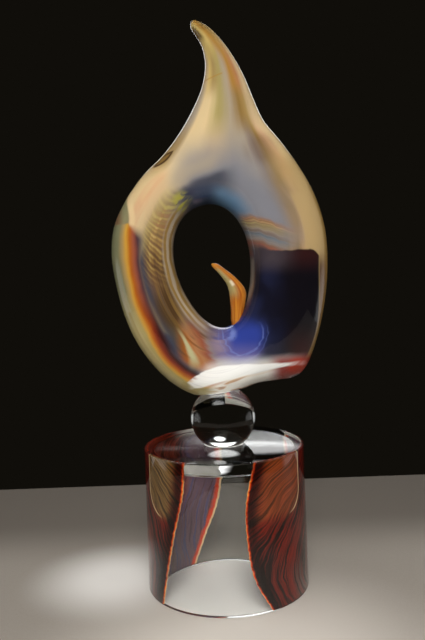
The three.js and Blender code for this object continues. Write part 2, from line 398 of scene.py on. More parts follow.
@dataclass(frozen=True)
class AmberGlass:
    """Amber hook: orange along its outer side, olive along its inner side."""

    deep: Colour = hex_colour("#a85212")
    bright: Colour = hex_colour("#d68a30")
    olive: Colour = hex_colour("#b0a46c")
    # Colour and place along the hook of a painted highlight.
    glint: Colour = hex_colour("#efe3c4")
    glint_place: float = 0.56
    roughness: float = 0.12
    coat_roughness: float = 0.03
    ior: float = 1.5
    clearness: float = 0.25

    def material(self) -> bpy.types.Material:
        """Build the material of the hook, with colour drawn out along its length.

        Returns:
            The material.
        """
        shader = Shader(bpy.data.materials.new("amber_glass"))
        along, across, _ = shader.attribute("hook")
        _, y, _ = shader.place()
        streak = shader.noise(shader.vector(across * 2.5, along * 1.2, y * 0.05), 1.6, 3)
        colour = shader.blend(self.deep, self.bright, streak.rise(0.3, 0.7))
        inner = across.fall(-0.4, 0.5) * along.band(0.4, 0.86, 0.12)
        colour = shader.blend(colour, self.olive, inner * 0.9)
        colour = shader.blend(colour, self.bright, along.rise(0.8, 1.0))
        # Painted highlight: a cream glint partway along the hook.
        beside = abs(along - self.glint_place).fall(0.02, 0.05)
        shine = beside * abs(across + 0.1).fall(0.1, 0.35)
        colour = shader.blend(colour, self.glint, shine * 0.8)
        surface = shader.principled(
            Base_Color=colour,
            Roughness=self.roughness,
            IOR=self.ior,
            Transmission_Weight=self.clearness,
            Coat_Weight=1.0,
            Coat_Roughness=self.coat_roughness,
        )
        return shader.finish(surface)


class FlameShader(Shader):
    """Shader that knows places on the flame.

    Attributes:
        x, y, z: millimetres to the right, to the back and up from the table.
        across: from 0 at the opening to 1 at the rim.
        ahead, aside: cosine and sine of the angle round the opening, clockwise from the top.
        rim, hole: millimetres to the rim and to the opening.
        lean: from -1 at the rim's left side to 1 at its right side.
        cloud, fine: broad and drawn-out noises around 0.5.
    """

    def __init__(self, owner: bpy.types.Material) -> None:
        """Read the mesh's attributes and two noises that most patterns share.

        Args:
            owner: the core's material.
        """
        super().__init__(owner)
        self.x, self.y, self.z = self.place()
        self.across, self.ahead, self.aside = self.attribute("flow")
        self.rim, self.hole, self.lean = self.attribute("gaps")
        self.cloud = self.noise(self.vector(self.x, self.y, self.z), 0.03, 3, 0.4)
        fine_ring = self.streaks(across=10, around=1.4, warp=0.7)
        horn_spot = self.vector(self.lean * 3.2, self.y * 0.03, self.z * 0.008)
        fine_horn = self.noise(horn_spot, 1.0, 3, 0.3)
        up = self.z.rise(318, 350)
        self.fine = fine_ring * (1 - up) + fine_horn * up

    def streaks(self, across: float, around: float, warp: float) -> Signal:
        """Noise drawn out along the limbs.

        Args:
            across: how often it changes from the opening to the rim.
            around: how often it changes round the ring.
            warp: how far it is stirred.

        Returns:
            Value around 0.5.
        """
        spot = self.vector(
            self.across * across + self.y * 0.02, self.ahead * around, self.aside * around
        )
        return self.noise(spot, 1.0, 3, warp)

    def distance(self, x: float, z: float) -> Signal:
        """Distance from a point, seen from the front."""
        dx, dz = self.x - x, self.z - z
        return (dx * dx + dz * dz).math("SQRT")

    def near(self, x: float, z: float, reach: float) -> Signal:
        """Soft round mask about a point."""
        return self.distance(x, z).fall(reach * 0.35, reach)

    def along(self, start: Point, end: Point) -> Signal:
        """Distance along the line through two points.

        Args:
            start: the first point.
            end: the second point.

        Returns:
            Distance from the middle between them, positive towards the second.
        """
        run, rise = end[0] - start[0], end[1] - start[1]
        length = math.hypot(run, rise)
        middle = (start[0] + end[0]) / 2, (start[1] + end[1]) / 2
        return (self.x - middle[0]) * (run / length) + (self.z - middle[1]) * (rise / length)

    def line(self, start: Point, end: Point) -> Signal:
        """Distance from the line through two points.

        Args:
            start: the first point.
            end: the second point.

        Returns:
            The distance, positive on the line's left.
        """
        run, rise = end[0] - start[0], end[1] - start[1]
        length = math.hypot(run, rise)
        return (self.z - start[1]) * (run / length) - (self.x - start[0]) * (rise / length)


@dataclass(frozen=True)
class MarbledGlass:
    """The flame's colours: bands drawn along the limbs, a dark block, cobalt, and a pale horn.

    Each layer is a mask of smooth steps between places in millimetres, and the noises fray it.
    """

    cream: Colour = hex_colour("#dbc194")
    straw: Colour = hex_colour("#cdb26e")
    honey: Colour = hex_colour("#b3843c")
    beige: Colour = hex_colour("#cbb18a")
    taupe: Colour = hex_colour("#b0a08a")
    mushroom: Colour = hex_colour("#8c7c70")
    tan: Colour = hex_colour("#a68a58")
    olive: Colour = hex_colour("#aa9a62")
    bronze: Colour = hex_colour("#93733c")
    brown: Colour = hex_colour("#6c4e36")
    umber: Colour = hex_colour("#4c351e")
    gold: Colour = hex_colour("#c9973a")
    peach: Colour = hex_colour("#d3a882")
    copper: Colour = hex_colour("#b27c54")
    orange: Colour = hex_colour("#b0601e")
    rust: Colour = hex_colour("#94503a")
    brick: Colour = hex_colour("#7c2c1a")
    heel_red: Colour = hex_colour("#8c1606")
    ember: Colour = hex_colour("#b8320f")
    plum: Colour = hex_colour("#503438")
    heather: Colour = hex_colour("#76667c")
    mauve: Colour = hex_colour("#8d7a88")
    slate: Colour = hex_colour("#40424e")
    steel: Colour = hex_colour("#69727a")
    teal: Colour = hex_colour("#5c82a0")
    moss: Colour = hex_colour("#5c4c2c")
    lime: Colour = hex_colour("#a8a03e")
    grey: Colour = hex_colour("#838289")
    navy: Colour = hex_colour("#22253f")
    cobalt: Colour = hex_colour("#31408c")
    light_cobalt: Colour = hex_colour("#7c8ac4")
    violet: Colour = hex_colour("#6c659a")
    black: Colour = hex_colour("#110e13")
    maroon: Colour = hex_colour("#381a18")
    haze: Colour = hex_colour("#4a4044")
    # White of the painted glare, glow and highlight along the foot.
    milk: Colour = hex_colour("#fbf8f2")
    smoke: Colour = hex_colour("#7a795a")
    low_smoke: Colour = hex_colour("#bcac78")
    celadon: Colour = hex_colour("#b9bc92")
    roughness: float = 0.4
    fold_height: float = 320.5
    band_start: float = 293.5
    block_top: float = 269.0
    block_clearance: float = 8.8
    glare_top: float = 181.5
    glare_foot: float = 164.0
    pool_middle: Point = (15, 201)
    loops_middle: Point = (18, 204)
    loop_radii: Point = (15.5, 19.0)
    streak_ends: tuple[Point, Point] = ((-34, 216), (-18, 182))
    slit_ends: tuple[Point, Point] = ((-47, 334), (-29, 348.5))

    def material(self) -> bpy.types.Material:
        """Build the material of the flame's core.

        Returns:
            The material.
        """
        at = FlameShader(bpy.data.materials.new("marbled_glass"))
        colour = self.pale_horn(at)
        for layer in (
            self.grey_shoulder,
            self.window,
            self.left_rim,
            self.left_bands,
            self.ribs,
            self.inner_rim,
            self.sweep_below,
            self.blue_crown,
            self.strata,
            self.dark_block,
            self.outer_strip,
            self.cobalt_pool,
            self.foot,
            self.slit,
        ):
            colour = layer(at, colour)
        surface = at.principled(
            Base_Color=colour, Roughness=self.roughness, Specular_IOR_Level=0.1
        )
        return at.finish(surface)

    def pale_horn(self, at: FlameShader) -> Signal:
        """Cream, taupe, bronze and peach streaks that run up the horn from side to side.

        Args:
            at: the core's shader.

        Returns:
            The colour that the other layers are laid over.
        """
        side = at.lean * 0.57 + 0.5 + (at.fine - 0.5) * 0.2
        tip = [
            (0.03, self.cream), (0.12, self.straw), (0.34, self.straw), (0.60, self.honey),
            (0.84, self.tan), (0.97, self.cream),
        ]
        upper = [
            (0.02, self.beige), (0.12, self.straw), (0.26, self.tan), (0.40, self.olive),
            (0.54, self.taupe), (0.68, self.honey), (0.80, self.copper), (0.90, self.beige),
            (0.98, self.cream),
        ]
        middle = [
            (0.02, self.taupe), (0.10, self.cream), (0.26, self.cream), (0.40, self.olive),
            (0.56, self.taupe), (0.72, self.bronze), (0.82, self.tan), (0.92, self.beige),
            (0.99, self.cream),
        ]
        lower = [
            (0.02, self.tan), (0.09, self.cream), (0.24, self.cream), (0.38, self.beige),
            (0.54, self.taupe), (0.68, self.taupe), (0.76, self.mushroom), (0.83, self.bronze),
            (0.91, self.peach), (0.98, self.cream),
        ]
        height = at.z + at.cloud * 20 - 10
        colour = at.ramp(side, lower)
        for stops, start, end in ((middle, 350, 374), (upper, 382, 404), (tip, 414, 434)):
            colour = at.blend(colour, at.ramp(side, stops), height.rise(start, end))
        dark_side = at.lean.fall(-0.55, -0.2) * at.z.band(434, 444, 3)
        colour = at.blend(colour, self.umber, dark_side * 0.8)
        mark = abs(at.z - 402 - (at.x + 2) * 0.33).fall(0.25, 0.8) * at.x.band(-4, 9, 1)
        return at.blend(colour, self.honey, mark * 0.6)

    def grey_shoulder(self, at: FlameShader, colour: Signal) -> Signal:
        """Grey haze over and to the right of the opening, with painted shade under a fold line, and
        a brown cloud.

        Args:
            at: the core's shader.
            colour: the colour so far.

        Returns:
            The colour with the haze laid over it.
        """
        reach = at.hole + at.cloud * 22 - 11
        side = at.x.rise(-42, -14) * at.z.rise(262, 282)
        colour = at.blend(colour, self.grey, reach.fall(20, 60) * side * 0.95)
        fold = at.z - self.fold_height - (at.x + 24) * 0.36 + at.cloud * 10 - 5
        above = fold.band(3, 14, 5) * at.x.band(-34, 2, 8)
        colour = at.blend(colour, self.taupe, above * 0.75)
        # Painted shade: slate under the fold line, fading away from the opening.
        under = fold.fall(-4, 3) * at.x.band(-32, 12, 10) * at.hole.rise(2, 8)
        colour = at.blend(colour, self.slate, under * reach.fall(18, 32) * 0.85)
        cloud = at.near(36, 346, 17) * at.fine.rise(0.3, 0.6)
        return at.blend(colour, self.brown, cloud * 0.5)

    def window(self, at: FlameShader, colour: Signal) -> Signal:
        """Tan band down the right limb's outer side, with a smooth khaki facet above the block.

        Args:
            at: the core's shader.
            colour: the colour so far.

        Returns:
            The colour with the band laid over it.
        """
        right = at.x.rise(30, 52)
        band = at.rim.fall(12, 22) * right * at.z.fall(330, 362)
        colour = at.blend(colour, self.tan, band * 0.75)
        shade = at.rim.band(18, 23, 3) * right * at.z.band(278, 336, 12)
        colour = at.blend(colour, self.bronze, shade * 0.5)
        facet = at.rim.band(5, 17, 0.8) * at.z.band(262, 312, 3) * at.x.rise(52, 60)
        khaki = at.blend(self.tan, self.beige, 0.3)
        colour = at.blend(colour, khaki, facet * 0.9)
        line = abs(at.rim - 4.6 + at.cloud * 1.5).fall(0.5, 2.0) * at.z.band(215, 316, 10)
        return at.blend(colour, self.bronze, line * at.x.rise(48, 62) * 0.8)

    def left_rim(self, at: FlameShader, colour: Signal) -> Signal:
        """Cream and peach haze on the outer side of the upper left limb, with a thin smoky rim.

        Args:
            at: the core's shader.
            colour: the colour so far.

        Returns:
            The colour with the haze laid over it.
        """
        where = at.x.fall(-42, -30) * at.z.fall(322, 345)
        tone = at.ramp(
            at.rim * (1 / 40) + (at.fine - 0.5) * 0.3,
            [
                (0.05, self.cream), (0.20, self.cream), (0.30, self.peach), (0.44, self.beige),
                (0.60, self.olive), (0.80, self.copper),
            ],
        )
        colour = at.blend(colour, tone, where * 0.85)
        width = at.z.fall(290, 321) * 11 + 1.2
        inside = at.rim - width + (at.cloud - 0.5) * 2
        upper = at.x.fall(-40, -32) * at.z.band(291, 334, 2)
        colour = at.blend(colour, self.cream, abs(inside - 1.6).fall(0.5, 2.4) * upper * 0.8)
        rim = at.blend(self.smoke, self.brown, inside.fall(-7, -2))
        return at.blend(colour, rim, inside.fall(-0.7, 0.5) * upper * 0.9)

    def left_bands(self, at: FlameShader, colour: Signal) -> Signal:
        """Spectrum of bands inside the clear rim of the left limb.

        Args:
            at: the core's shader.
            colour: the colour so far.

        Returns:
            The colour with the bands laid over it.
        """
        low = at.z.fall(178, 226)
        narrowing = at.z.rise(272, 294) * 0.14 + low * low * 0.25
        spread = narrowing - at.z.fall(205, 252) * 0.09 + 1
        depth = at.rim * spread + (at.cloud - 0.5) * 4 + (at.fine - 0.5) * 1.4
        share = depth * (1 / 60)
        upper = [
            (0.13, self.smoke), (0.18, self.tan), (0.212, self.gold), (0.25, self.orange),
            (0.287, self.rust), (0.325, self.plum), (0.36, self.slate), (0.42, self.brown),
            (0.56, self.moss),
        ]
        lower = [
            (0.13, self.low_smoke), (0.175, self.olive), (0.20, self.gold), (0.232, self.orange),
            (0.265, self.brick), (0.30, self.maroon), (0.34, self.slate), (0.41, self.moss),
            (0.52, self.brown),
        ]
        lower_part = at.z.fall(205, 250)
        bands = at.blend(at.ramp(share, upper), at.ramp(share, lower), lower_part)
        deep = at.near(-36, 227, 22) * at.rim.rise(16, 26) * at.hole.rise(7, 13)
        bands = at.blend(bands, self.umber, deep * 0.8)
        threads = at.streaks(across=30, around=1.0, warp=0.3)
        inner = depth.rise(21, 29)
        bands = at.blend(bands, self.bronze, threads.rise(0.5, 0.7) * inner * 0.55)
        bands = at.blend(bands, self.umber, threads.fall(0.36, 0.52) * inner * 0.8)
        sweep = at.streaks(across=12, around=2.2, warp=0.5)
        swept = sweep.fall(0.36, 0.46) * inner * at.z.fall(215, 270)
        bands = at.blend(bands, self.slate, swept * 0.5)
        smoke = at.fine.rise(0.45, 0.7) * depth.fall(9, 11) * at.z.fall(225, 280)
        bands = at.blend(bands, self.bronze, smoke * 0.45)
        behind = (depth - 13).math("MAXIMUM", 0.0)
        start = at.z - self.band_start - (at.x + 66) * 0.1
        front = (start + behind * 1.2) / (1 + behind * 0.8)
        outer = front.fall(-0.7, 0.9) * at.rim.fall(19, 26) * at.x.fall(-30, -10)
        inward = at.z.fall(262, 292) * at.x.fall(-34, -16) * depth.rise(14, 22)
        bottom = at.x.fall(-12, 14) * at.z.fall(205, 225)
        return at.blend(colour, bands, outer.math("MAXIMUM", inward).math("MAXIMUM", bottom))

    def ribs(self, at: FlameShader, colour: Signal) -> Signal:
        """Curved ribs that cross the upper left of the ring, like the folds of a fan.

        Args:
            at: the core's shader.
            colour: the colour so far.

        Returns:
            The colour with the ribs laid over it.
        """
        bend = at.x + 38 - (at.z - 298).math("MAXIMUM", 0.0) * 0.6
        level = at.z - (bend * bend) * 0.045 + (at.cloud - 0.5) * 10 + (at.fine - 0.5) * 3
        broad = (level * 0.71).math("SINE")
        wave = ((level * 1.43).math("SINE") + broad * 0.8) * 0.28 + 0.5
        tone = at.ramp(
            at.fine * 0.6 + wave * 0.4,
            [(0.28, self.umber), (0.44, self.brown), (0.58, self.bronze), (0.8, self.straw)],
        )
        tone = at.blend(tone, self.rust, at.near(-42, 296, 13) * wave.fall(0.2, 0.7) * 0.7)
        tone = at.blend(tone, self.lime, at.near(-33, 310, 14) * wave.rise(0.3, 0.8) * 0.7)
        where = at.x.band(-56, -29, 4) * at.z.band(252, 320, 12) * at.hole.rise(3, 7)
        return at.blend(colour, tone, where * at.rim.rise(16, 27) * 0.62)

    def inner_rim(self, at: FlameShader, colour: Signal) -> Signal:
        """Bronze and tan lines that follow the left edge of the opening.

        Args:
            at: the core's shader.
            colour: the colour so far.

        Returns:
            The colour with the lines laid over it.
        """
        lines = (at.hole * 1.7 + (at.cloud - 0.5) * 6).math("SINE") * 0.5 + 0.5
        tone = at.blend(self.bronze, self.taupe, lines.rise(0.1, 0.9))
        tone = at.blend(tone, self.brown, at.hole.fall(0.8, 2.2) * 0.8)
        tone = at.blend(tone, self.mauve, at.z.fall(205, 226) * 0.45)
        left = at.x.fall(-14, 4) * at.z.fall(296, 312)
        return at.blend(colour, tone, at.hole.fall(6.5, 9.5) * left * 0.9)

    def sweep_below(self, at: FlameShader, colour: Signal) -> Signal:
        """Copper to heather sweep under the opening's lower left, beside a bright streak.

        Args:
            at: the core's shader.
            colour: the colour so far.

        Returns:
            The colour with the sweep laid over it.
        """
        flow = at.streaks(across=9, around=0.8, warp=0.8)
        place = (at.x + 24 + (at.z - 194) * 0.55) * (1 / 30) + (flow - 0.5) * 0.45
        tone = at.ramp(
            place,
            [
                (0.05, self.orange), (0.2, self.copper), (0.42, self.rust), (0.55, self.mushroom),
                (0.72, self.heather), (0.95, self.heather),
            ],
        )
        tone = at.blend(tone, self.umber, flow.fall(0.36, 0.46) * 0.5)
        where = at.hole.band(8, 34, 3) * at.x.band(-30, 8, 7) * at.z.fall(206, 224)
        colour = at.blend(colour, tone, where * 0.85)
        bend = at.line(*self.streak_ends) + (at.z - 198) * (at.z - 198) * 0.006
        span = at.z.band(183, 207, 7)
        width = 1.3 + at.z.fall(182, 204) * 2.7
        streak = abs(bend / width + (flow - 0.5) * 1.5).fall(0.2, 1.4) * span
        return at.blend(colour, self.celadon, streak * 0.85)

    def blue_crown(self, at: FlameShader, colour: Signal) -> Signal:
        """Navy and teal over the top of the opening, and a small yellow and mauve fold.

        Args:
            at: the core's shader.
            colour: the colour so far.

        Returns:
            The colour with the crown laid over it.
        """
        reach = at.hole + (at.cloud - 0.5) * 8
        top = at.z.rise(288, 306)
        teal = reach.fall(6, 16) * at.x.band(-16, 30, 8) * top
        colour = at.blend(colour, self.teal, teal * 0.9)
        navy = reach.fall(9, 20) * at.x.band(-26, 0, 7) * top
        colour = at.blend(colour, self.navy, navy * 0.8)
        fold = at.near(-26, 309, 10)
        colour = at.blend(colour, self.lime, fold * at.fine.rise(0.42, 0.52) * 0.9)
        glint = at.near(-14, 312, 6)
        colour = at.blend(colour, self.mauve, glint * at.cloud.rise(0.4, 0.55) * 0.9)
        edge = at.hole.fall(0.4, 1.6) * at.z.rise(285, 300)
        return at.blend(colour, self.brown, edge * 0.4)

    def strata(self, at: FlameShader, colour: Signal) -> Signal:
        """Thin tan, blue-grey and rust layers that slope down from the opening's right side.

        Args:
            at: the core's shader.
            colour: the colour so far.

        Returns:
            The colour with the layers laid over it.
        """
        level = at.z + (at.x - 28) * 0.4 + (at.cloud - 0.5) * 9 + (at.fine - 0.5) * 3
        tone = at.ramp(
            (level - 262) * (1 / 38),
            [
                (0.05, self.haze), (0.15, self.rust), (0.26, self.brown), (0.38, self.rust),
                (0.46, self.mushroom), (0.56, self.steel), (0.66, self.mushroom),
                (0.76, self.olive), (0.86, self.copper), (0.95, self.grey),
            ],
        )
        layers = at.noise(at.vector(0.0, level * 0.55, at.x * 0.01), 1.0, 2)
        tone = at.blend(tone, self.brown, layers.rise(0.5, 0.62) * 0.5)
        tone = at.blend(tone, self.slate, layers.fall(0.36, 0.46) * 0.35)
        where = at.x.rise(16, 24) * at.x.fall(40, 66) * level.band(264, 297, 3)
        return at.blend(colour, tone, where * 0.9)

    def beside_block(self, at: FlameShader) -> Signal:
        """Distance from the rim, stretched low down, where the block keeps nearer to it."""
        return at.rim + at.z.fall(200, 258) * 4.4

    def dark_block(self, at: FlameShader, colour: Signal) -> Signal:
        """Near-black mass in the right limb, cut off sharply at its top and its outer side.

        Args:
            at: the core's shader.
            colour: the colour so far.

        Returns:
            The colour with the block laid over it.
        """
        top = at.z + (at.fine - 0.5) * 2.5 + at.x.rise(72, 80) * 6 - at.x.fall(30, 44) * 5
        right = (self.beside_block(at) - self.block_clearance).rise(-0.4, 0.8)
        left = (at.hole + (at.cloud - 0.5) * 2).rise(0.4, 4) * at.x.rise(8, 16)
        soft = at.x.fall(24, 46) * 5 + 0.7
        under = ((top - self.block_top) / soft).fall(-1.0, 1.0)
        where = right * left * under * at.z.rise(177, 187)
        haze = at.cloud.rise(0.4, 0.65)
        tone = at.blend(self.black, self.navy, at.x.fall(36, 58) * (haze * 0.5 + 0.2))
        dusk = at.blend(self.haze, self.maroon, at.x.rise(44, 66))
        tone = at.blend(tone, dusk, at.z.rise(248, 266) * (0.65 + haze * 0.35))
        tone = at.blend(tone, self.maroon, at.z.fall(186, 214) * at.x.rise(46, 62) * 0.7)
        colour = at.blend(colour, tone, where)
        edge = at.x.rise(6, 14) * at.hole.fall(1, 3.5) * at.z.band(236, 270, 9)
        brightness = at.fine.rise(0.45, 0.6) * at.hole.fall(1, 2.5)
        edge_tone = at.blend(self.haze, self.mushroom, brightness)
        return at.blend(colour, edge_tone, edge * 0.6)

    def outer_strip(self, at: FlameShader, colour: Signal) -> Signal:
        """Tan, brown and maroon strip between the dark block and the rim.

        Args:
            at: the core's shader.
            colour: the colour so far.

        Returns:
            The colour with the strip laid over it.
        """
        tone = at.ramp(
            at.rim * (1 / 10) + (at.cloud - 0.5) * 0.25,
            [(0.12, self.copper), (0.3, self.bronze), (0.55, self.brown), (0.85, self.maroon)],
        )
        outside = (self.beside_block(at) - self.block_clearance).fall(-0.6, 0.6)
        where = outside * at.x.rise(50, 62)
        return at.blend(colour, tone, where * at.z.band(180, 262, 9) * 0.9)

    def cobalt_pool(self, at: FlameShader, colour: Signal) -> Signal:
        """Cobalt glass round the lower right of the opening, with fine swirled threads and a small
        painted highlight.

        Args:
            at: the core's shader.
            colour: the colour so far.

        Returns:
            The colour with the pool laid over it.
        """
        wisp = (at.cloud - 0.5) * 14 + (at.fine - 0.5) * 5
        reach = at.distance(*self.pool_middle) + wisp
        where = reach.fall(16, 31) * at.x.fall(34, 48) * at.z.rise(174, 184)
        upper = at.hole.fall(7, 15) * at.x.rise(10, 17) * at.z.band(205, 232, 8)
        shade = at.blend(self.cobalt, self.navy, reach.rise(13, 27) * 0.95)
        shade = at.blend(shade, self.navy, at.z.rise(206, 223) * 0.95)
        shade = at.blend(shade, self.violet, at.z.fall(186, 202) * at.x.fall(26, 40) * 0.85)
        mauve = at.x.fall(-3, 12) * (at.fine.rise(0.3, 0.55) * 0.7 + 0.3)
        shade = at.blend(shade, self.mauve, mauve)
        # Painted highlight: a light cobalt patch in the pool.
        light = at.near(8, 205, 7) * at.fine.rise(0.4, 0.6)
        shade = at.blend(shade, self.light_cobalt, light * 0.7)
        colour = at.blend(colour, shade, where.math("MAXIMUM", upper))
        ring = at.distance(*self.loops_middle) + (at.fine - 0.5) * 7 + (at.cloud - 0.5) * 8
        inner, outer = self.loop_radii
        loops = abs(ring - inner).fall(0.2, 0.9) + abs(ring - outer).fall(0.2, 0.8) * 0.4
        loops = loops * at.z.fall(204, 216) * at.z.rise(182, 188)
        return at.blend(colour, self.light_cobalt, loops * 0.4)

    def foot(self, at: FlameShader, colour: Signal) -> Signal:
        """Painted white glare that sweeps along the underside, with a softer painted glow about it
        and a painted highlight line at its right end; red glass at the heel, and a smoke of mauve,
        peach and painted white glow below it.

        Args:
            at: the core's shader.
            colour: the colour so far.

        Returns:
            The colour with the foot laid over it.
        """
        start = (5 - at.x).math("MAXIMUM", 0.0)
        wavy = at.z + (at.fine - 0.5) * 3
        top = wavy - self.glare_top + start * start * 0.012
        low = wavy - self.glare_foot - (at.x + 21) * 0.211
        below = low.fall(-2, 1) * at.x.band(-8, 60, 6)
        # Below the foot line: mauve and peach, with white that is painted glow.
        under = at.ramp(
            at.fine, [(0.34, self.mauve), (0.42, self.peach), (0.48, self.milk), (0.68, self.milk)]
        )
        colour = at.blend(colour, under, below * 0.85)
        # Painted glow: soft white light round the painted glare.
        glow = top.fall(0, 9) * low.rise(-2, 2) * at.x.band(-14, 62, 8) * 0.5
        colour = at.blend(colour, self.milk, glow)
        heel = at.x.rise(34, 48) * at.z.fall(182, 190) * at.rim.rise(1.0, 3)
        colour = at.blend(colour, self.heel_red, heel * at.cloud.rise(0.2, 0.4) * 0.95)
        colour = at.blend(colour, self.ember, heel * at.near(59, 178, 10) * 0.8)
        # Painted highlight: a thin white line along the glare's upper edge at the right.
        painted_sheen = abs(top + 1.5 - (at.x - 40) * 0.04).fall(0.6, 2.6) * at.x.band(44, 62, 6)
        colour = at.blend(colour, self.milk, painted_sheen * at.fine.rise(0.35, 0.55) * 0.6)
        # Painted glare: white along the underside, with grey streaks in it.
        tail = (at.x + (at.fine - 0.5) * 26).rise(-28, -20)
        painted_glare = top.fall(-0.6, 0.9) * low.rise(-0.8, 0.8) * at.x.fall(51, 57) * tail
        colour = at.blend(colour, self.milk, painted_glare)
        veins = at.streaks(across=22, around=0.8, warp=0.2).rise(0.54, 0.7)
        return at.blend(colour, self.grey, painted_glare * veins * 0.3)

    def slit(self, at: FlameShader, colour: Signal) -> Signal:
        """Dark leaf-shaped inclusion near the left shoulder's edge.

        Args:
            at: the core's shader.
            colour: the colour so far.

        Returns:
            The colour with the leaf laid over it.
        """
        along = at.along(*self.slit_ends)
        leaf = abs(at.line(*self.slit_ends)) + along * along * 0.022
        front = at.y.fall(-7, -3)
        colour = at.blend(colour, self.umber, leaf.fall(1.9, 2.8) * front)
        return at.blend(colour, self.bronze, leaf.fall(0.6, 1.6) * front * 0.75)


class Side(Enum):
    """The two coloured layers of the base."""

    LEFT = "left"
    RIGHT = "right"


@dataclass(frozen=True)
class Petal:
    """Painted pool of light on a wing: the middle of its rounded lower corner and that corner's
    radius.

    The middle's turn is in degrees from the front, its height and the radius in millimetres.
    """

    turn: float
    height: float
    radius: float
    millimetres_per_degree: float = 1.12


PETALS = {Side.LEFT: Petal(46.5, 91.0, 21.8), Side.RIGHT: Petal(44.0, 88.0, 18.0)}


class WingShader(Shader):
    """Shader that knows places on a wing.

    Attributes:
        arc, height, depth: millimetres from the front edge, from the table and from the face.
        far, near: millimetres to the back edge and to the front edge.
        turn: degrees from the base's front.
        thread, feather: fine and mixed noises around 0.5, combed up and backwards.
    """

    full_height: float = 115.0
    sweep: float = 92.0
    sweep_power: float = 2.2
    drift: float = 24.0

    def __init__(self, owner: bpy.types.Material) -> None:
        """Read the mesh's attributes and comb two noises into feathers.

        Args:
            owner: the wing's material.
        """
        super().__init__(owner)
        self.arc, self.height, self.depth = self.attribute("panel")
        self.far, self.near, self.turn = self.attribute("edges")
        drift = self.noise(self.vector(*self.place()), 0.025, 2) - 0.5
        swept = (self.height * (1 / self.full_height)) ** self.sweep_power * self.sweep
        fan = self.arc - swept + drift * self.drift
        comb = self.noise(self.vector(fan * 0.12, self.height * 0.008, 0.0), 1.0, 4, 0.2)
        thread_spot = self.vector(fan * 0.42, self.height * 0.015, 4.0)
        self.thread = self.noise(thread_spot, 1.0, 3, 0.3)
        self.feather = comb * 0.45 + self.thread * 0.55


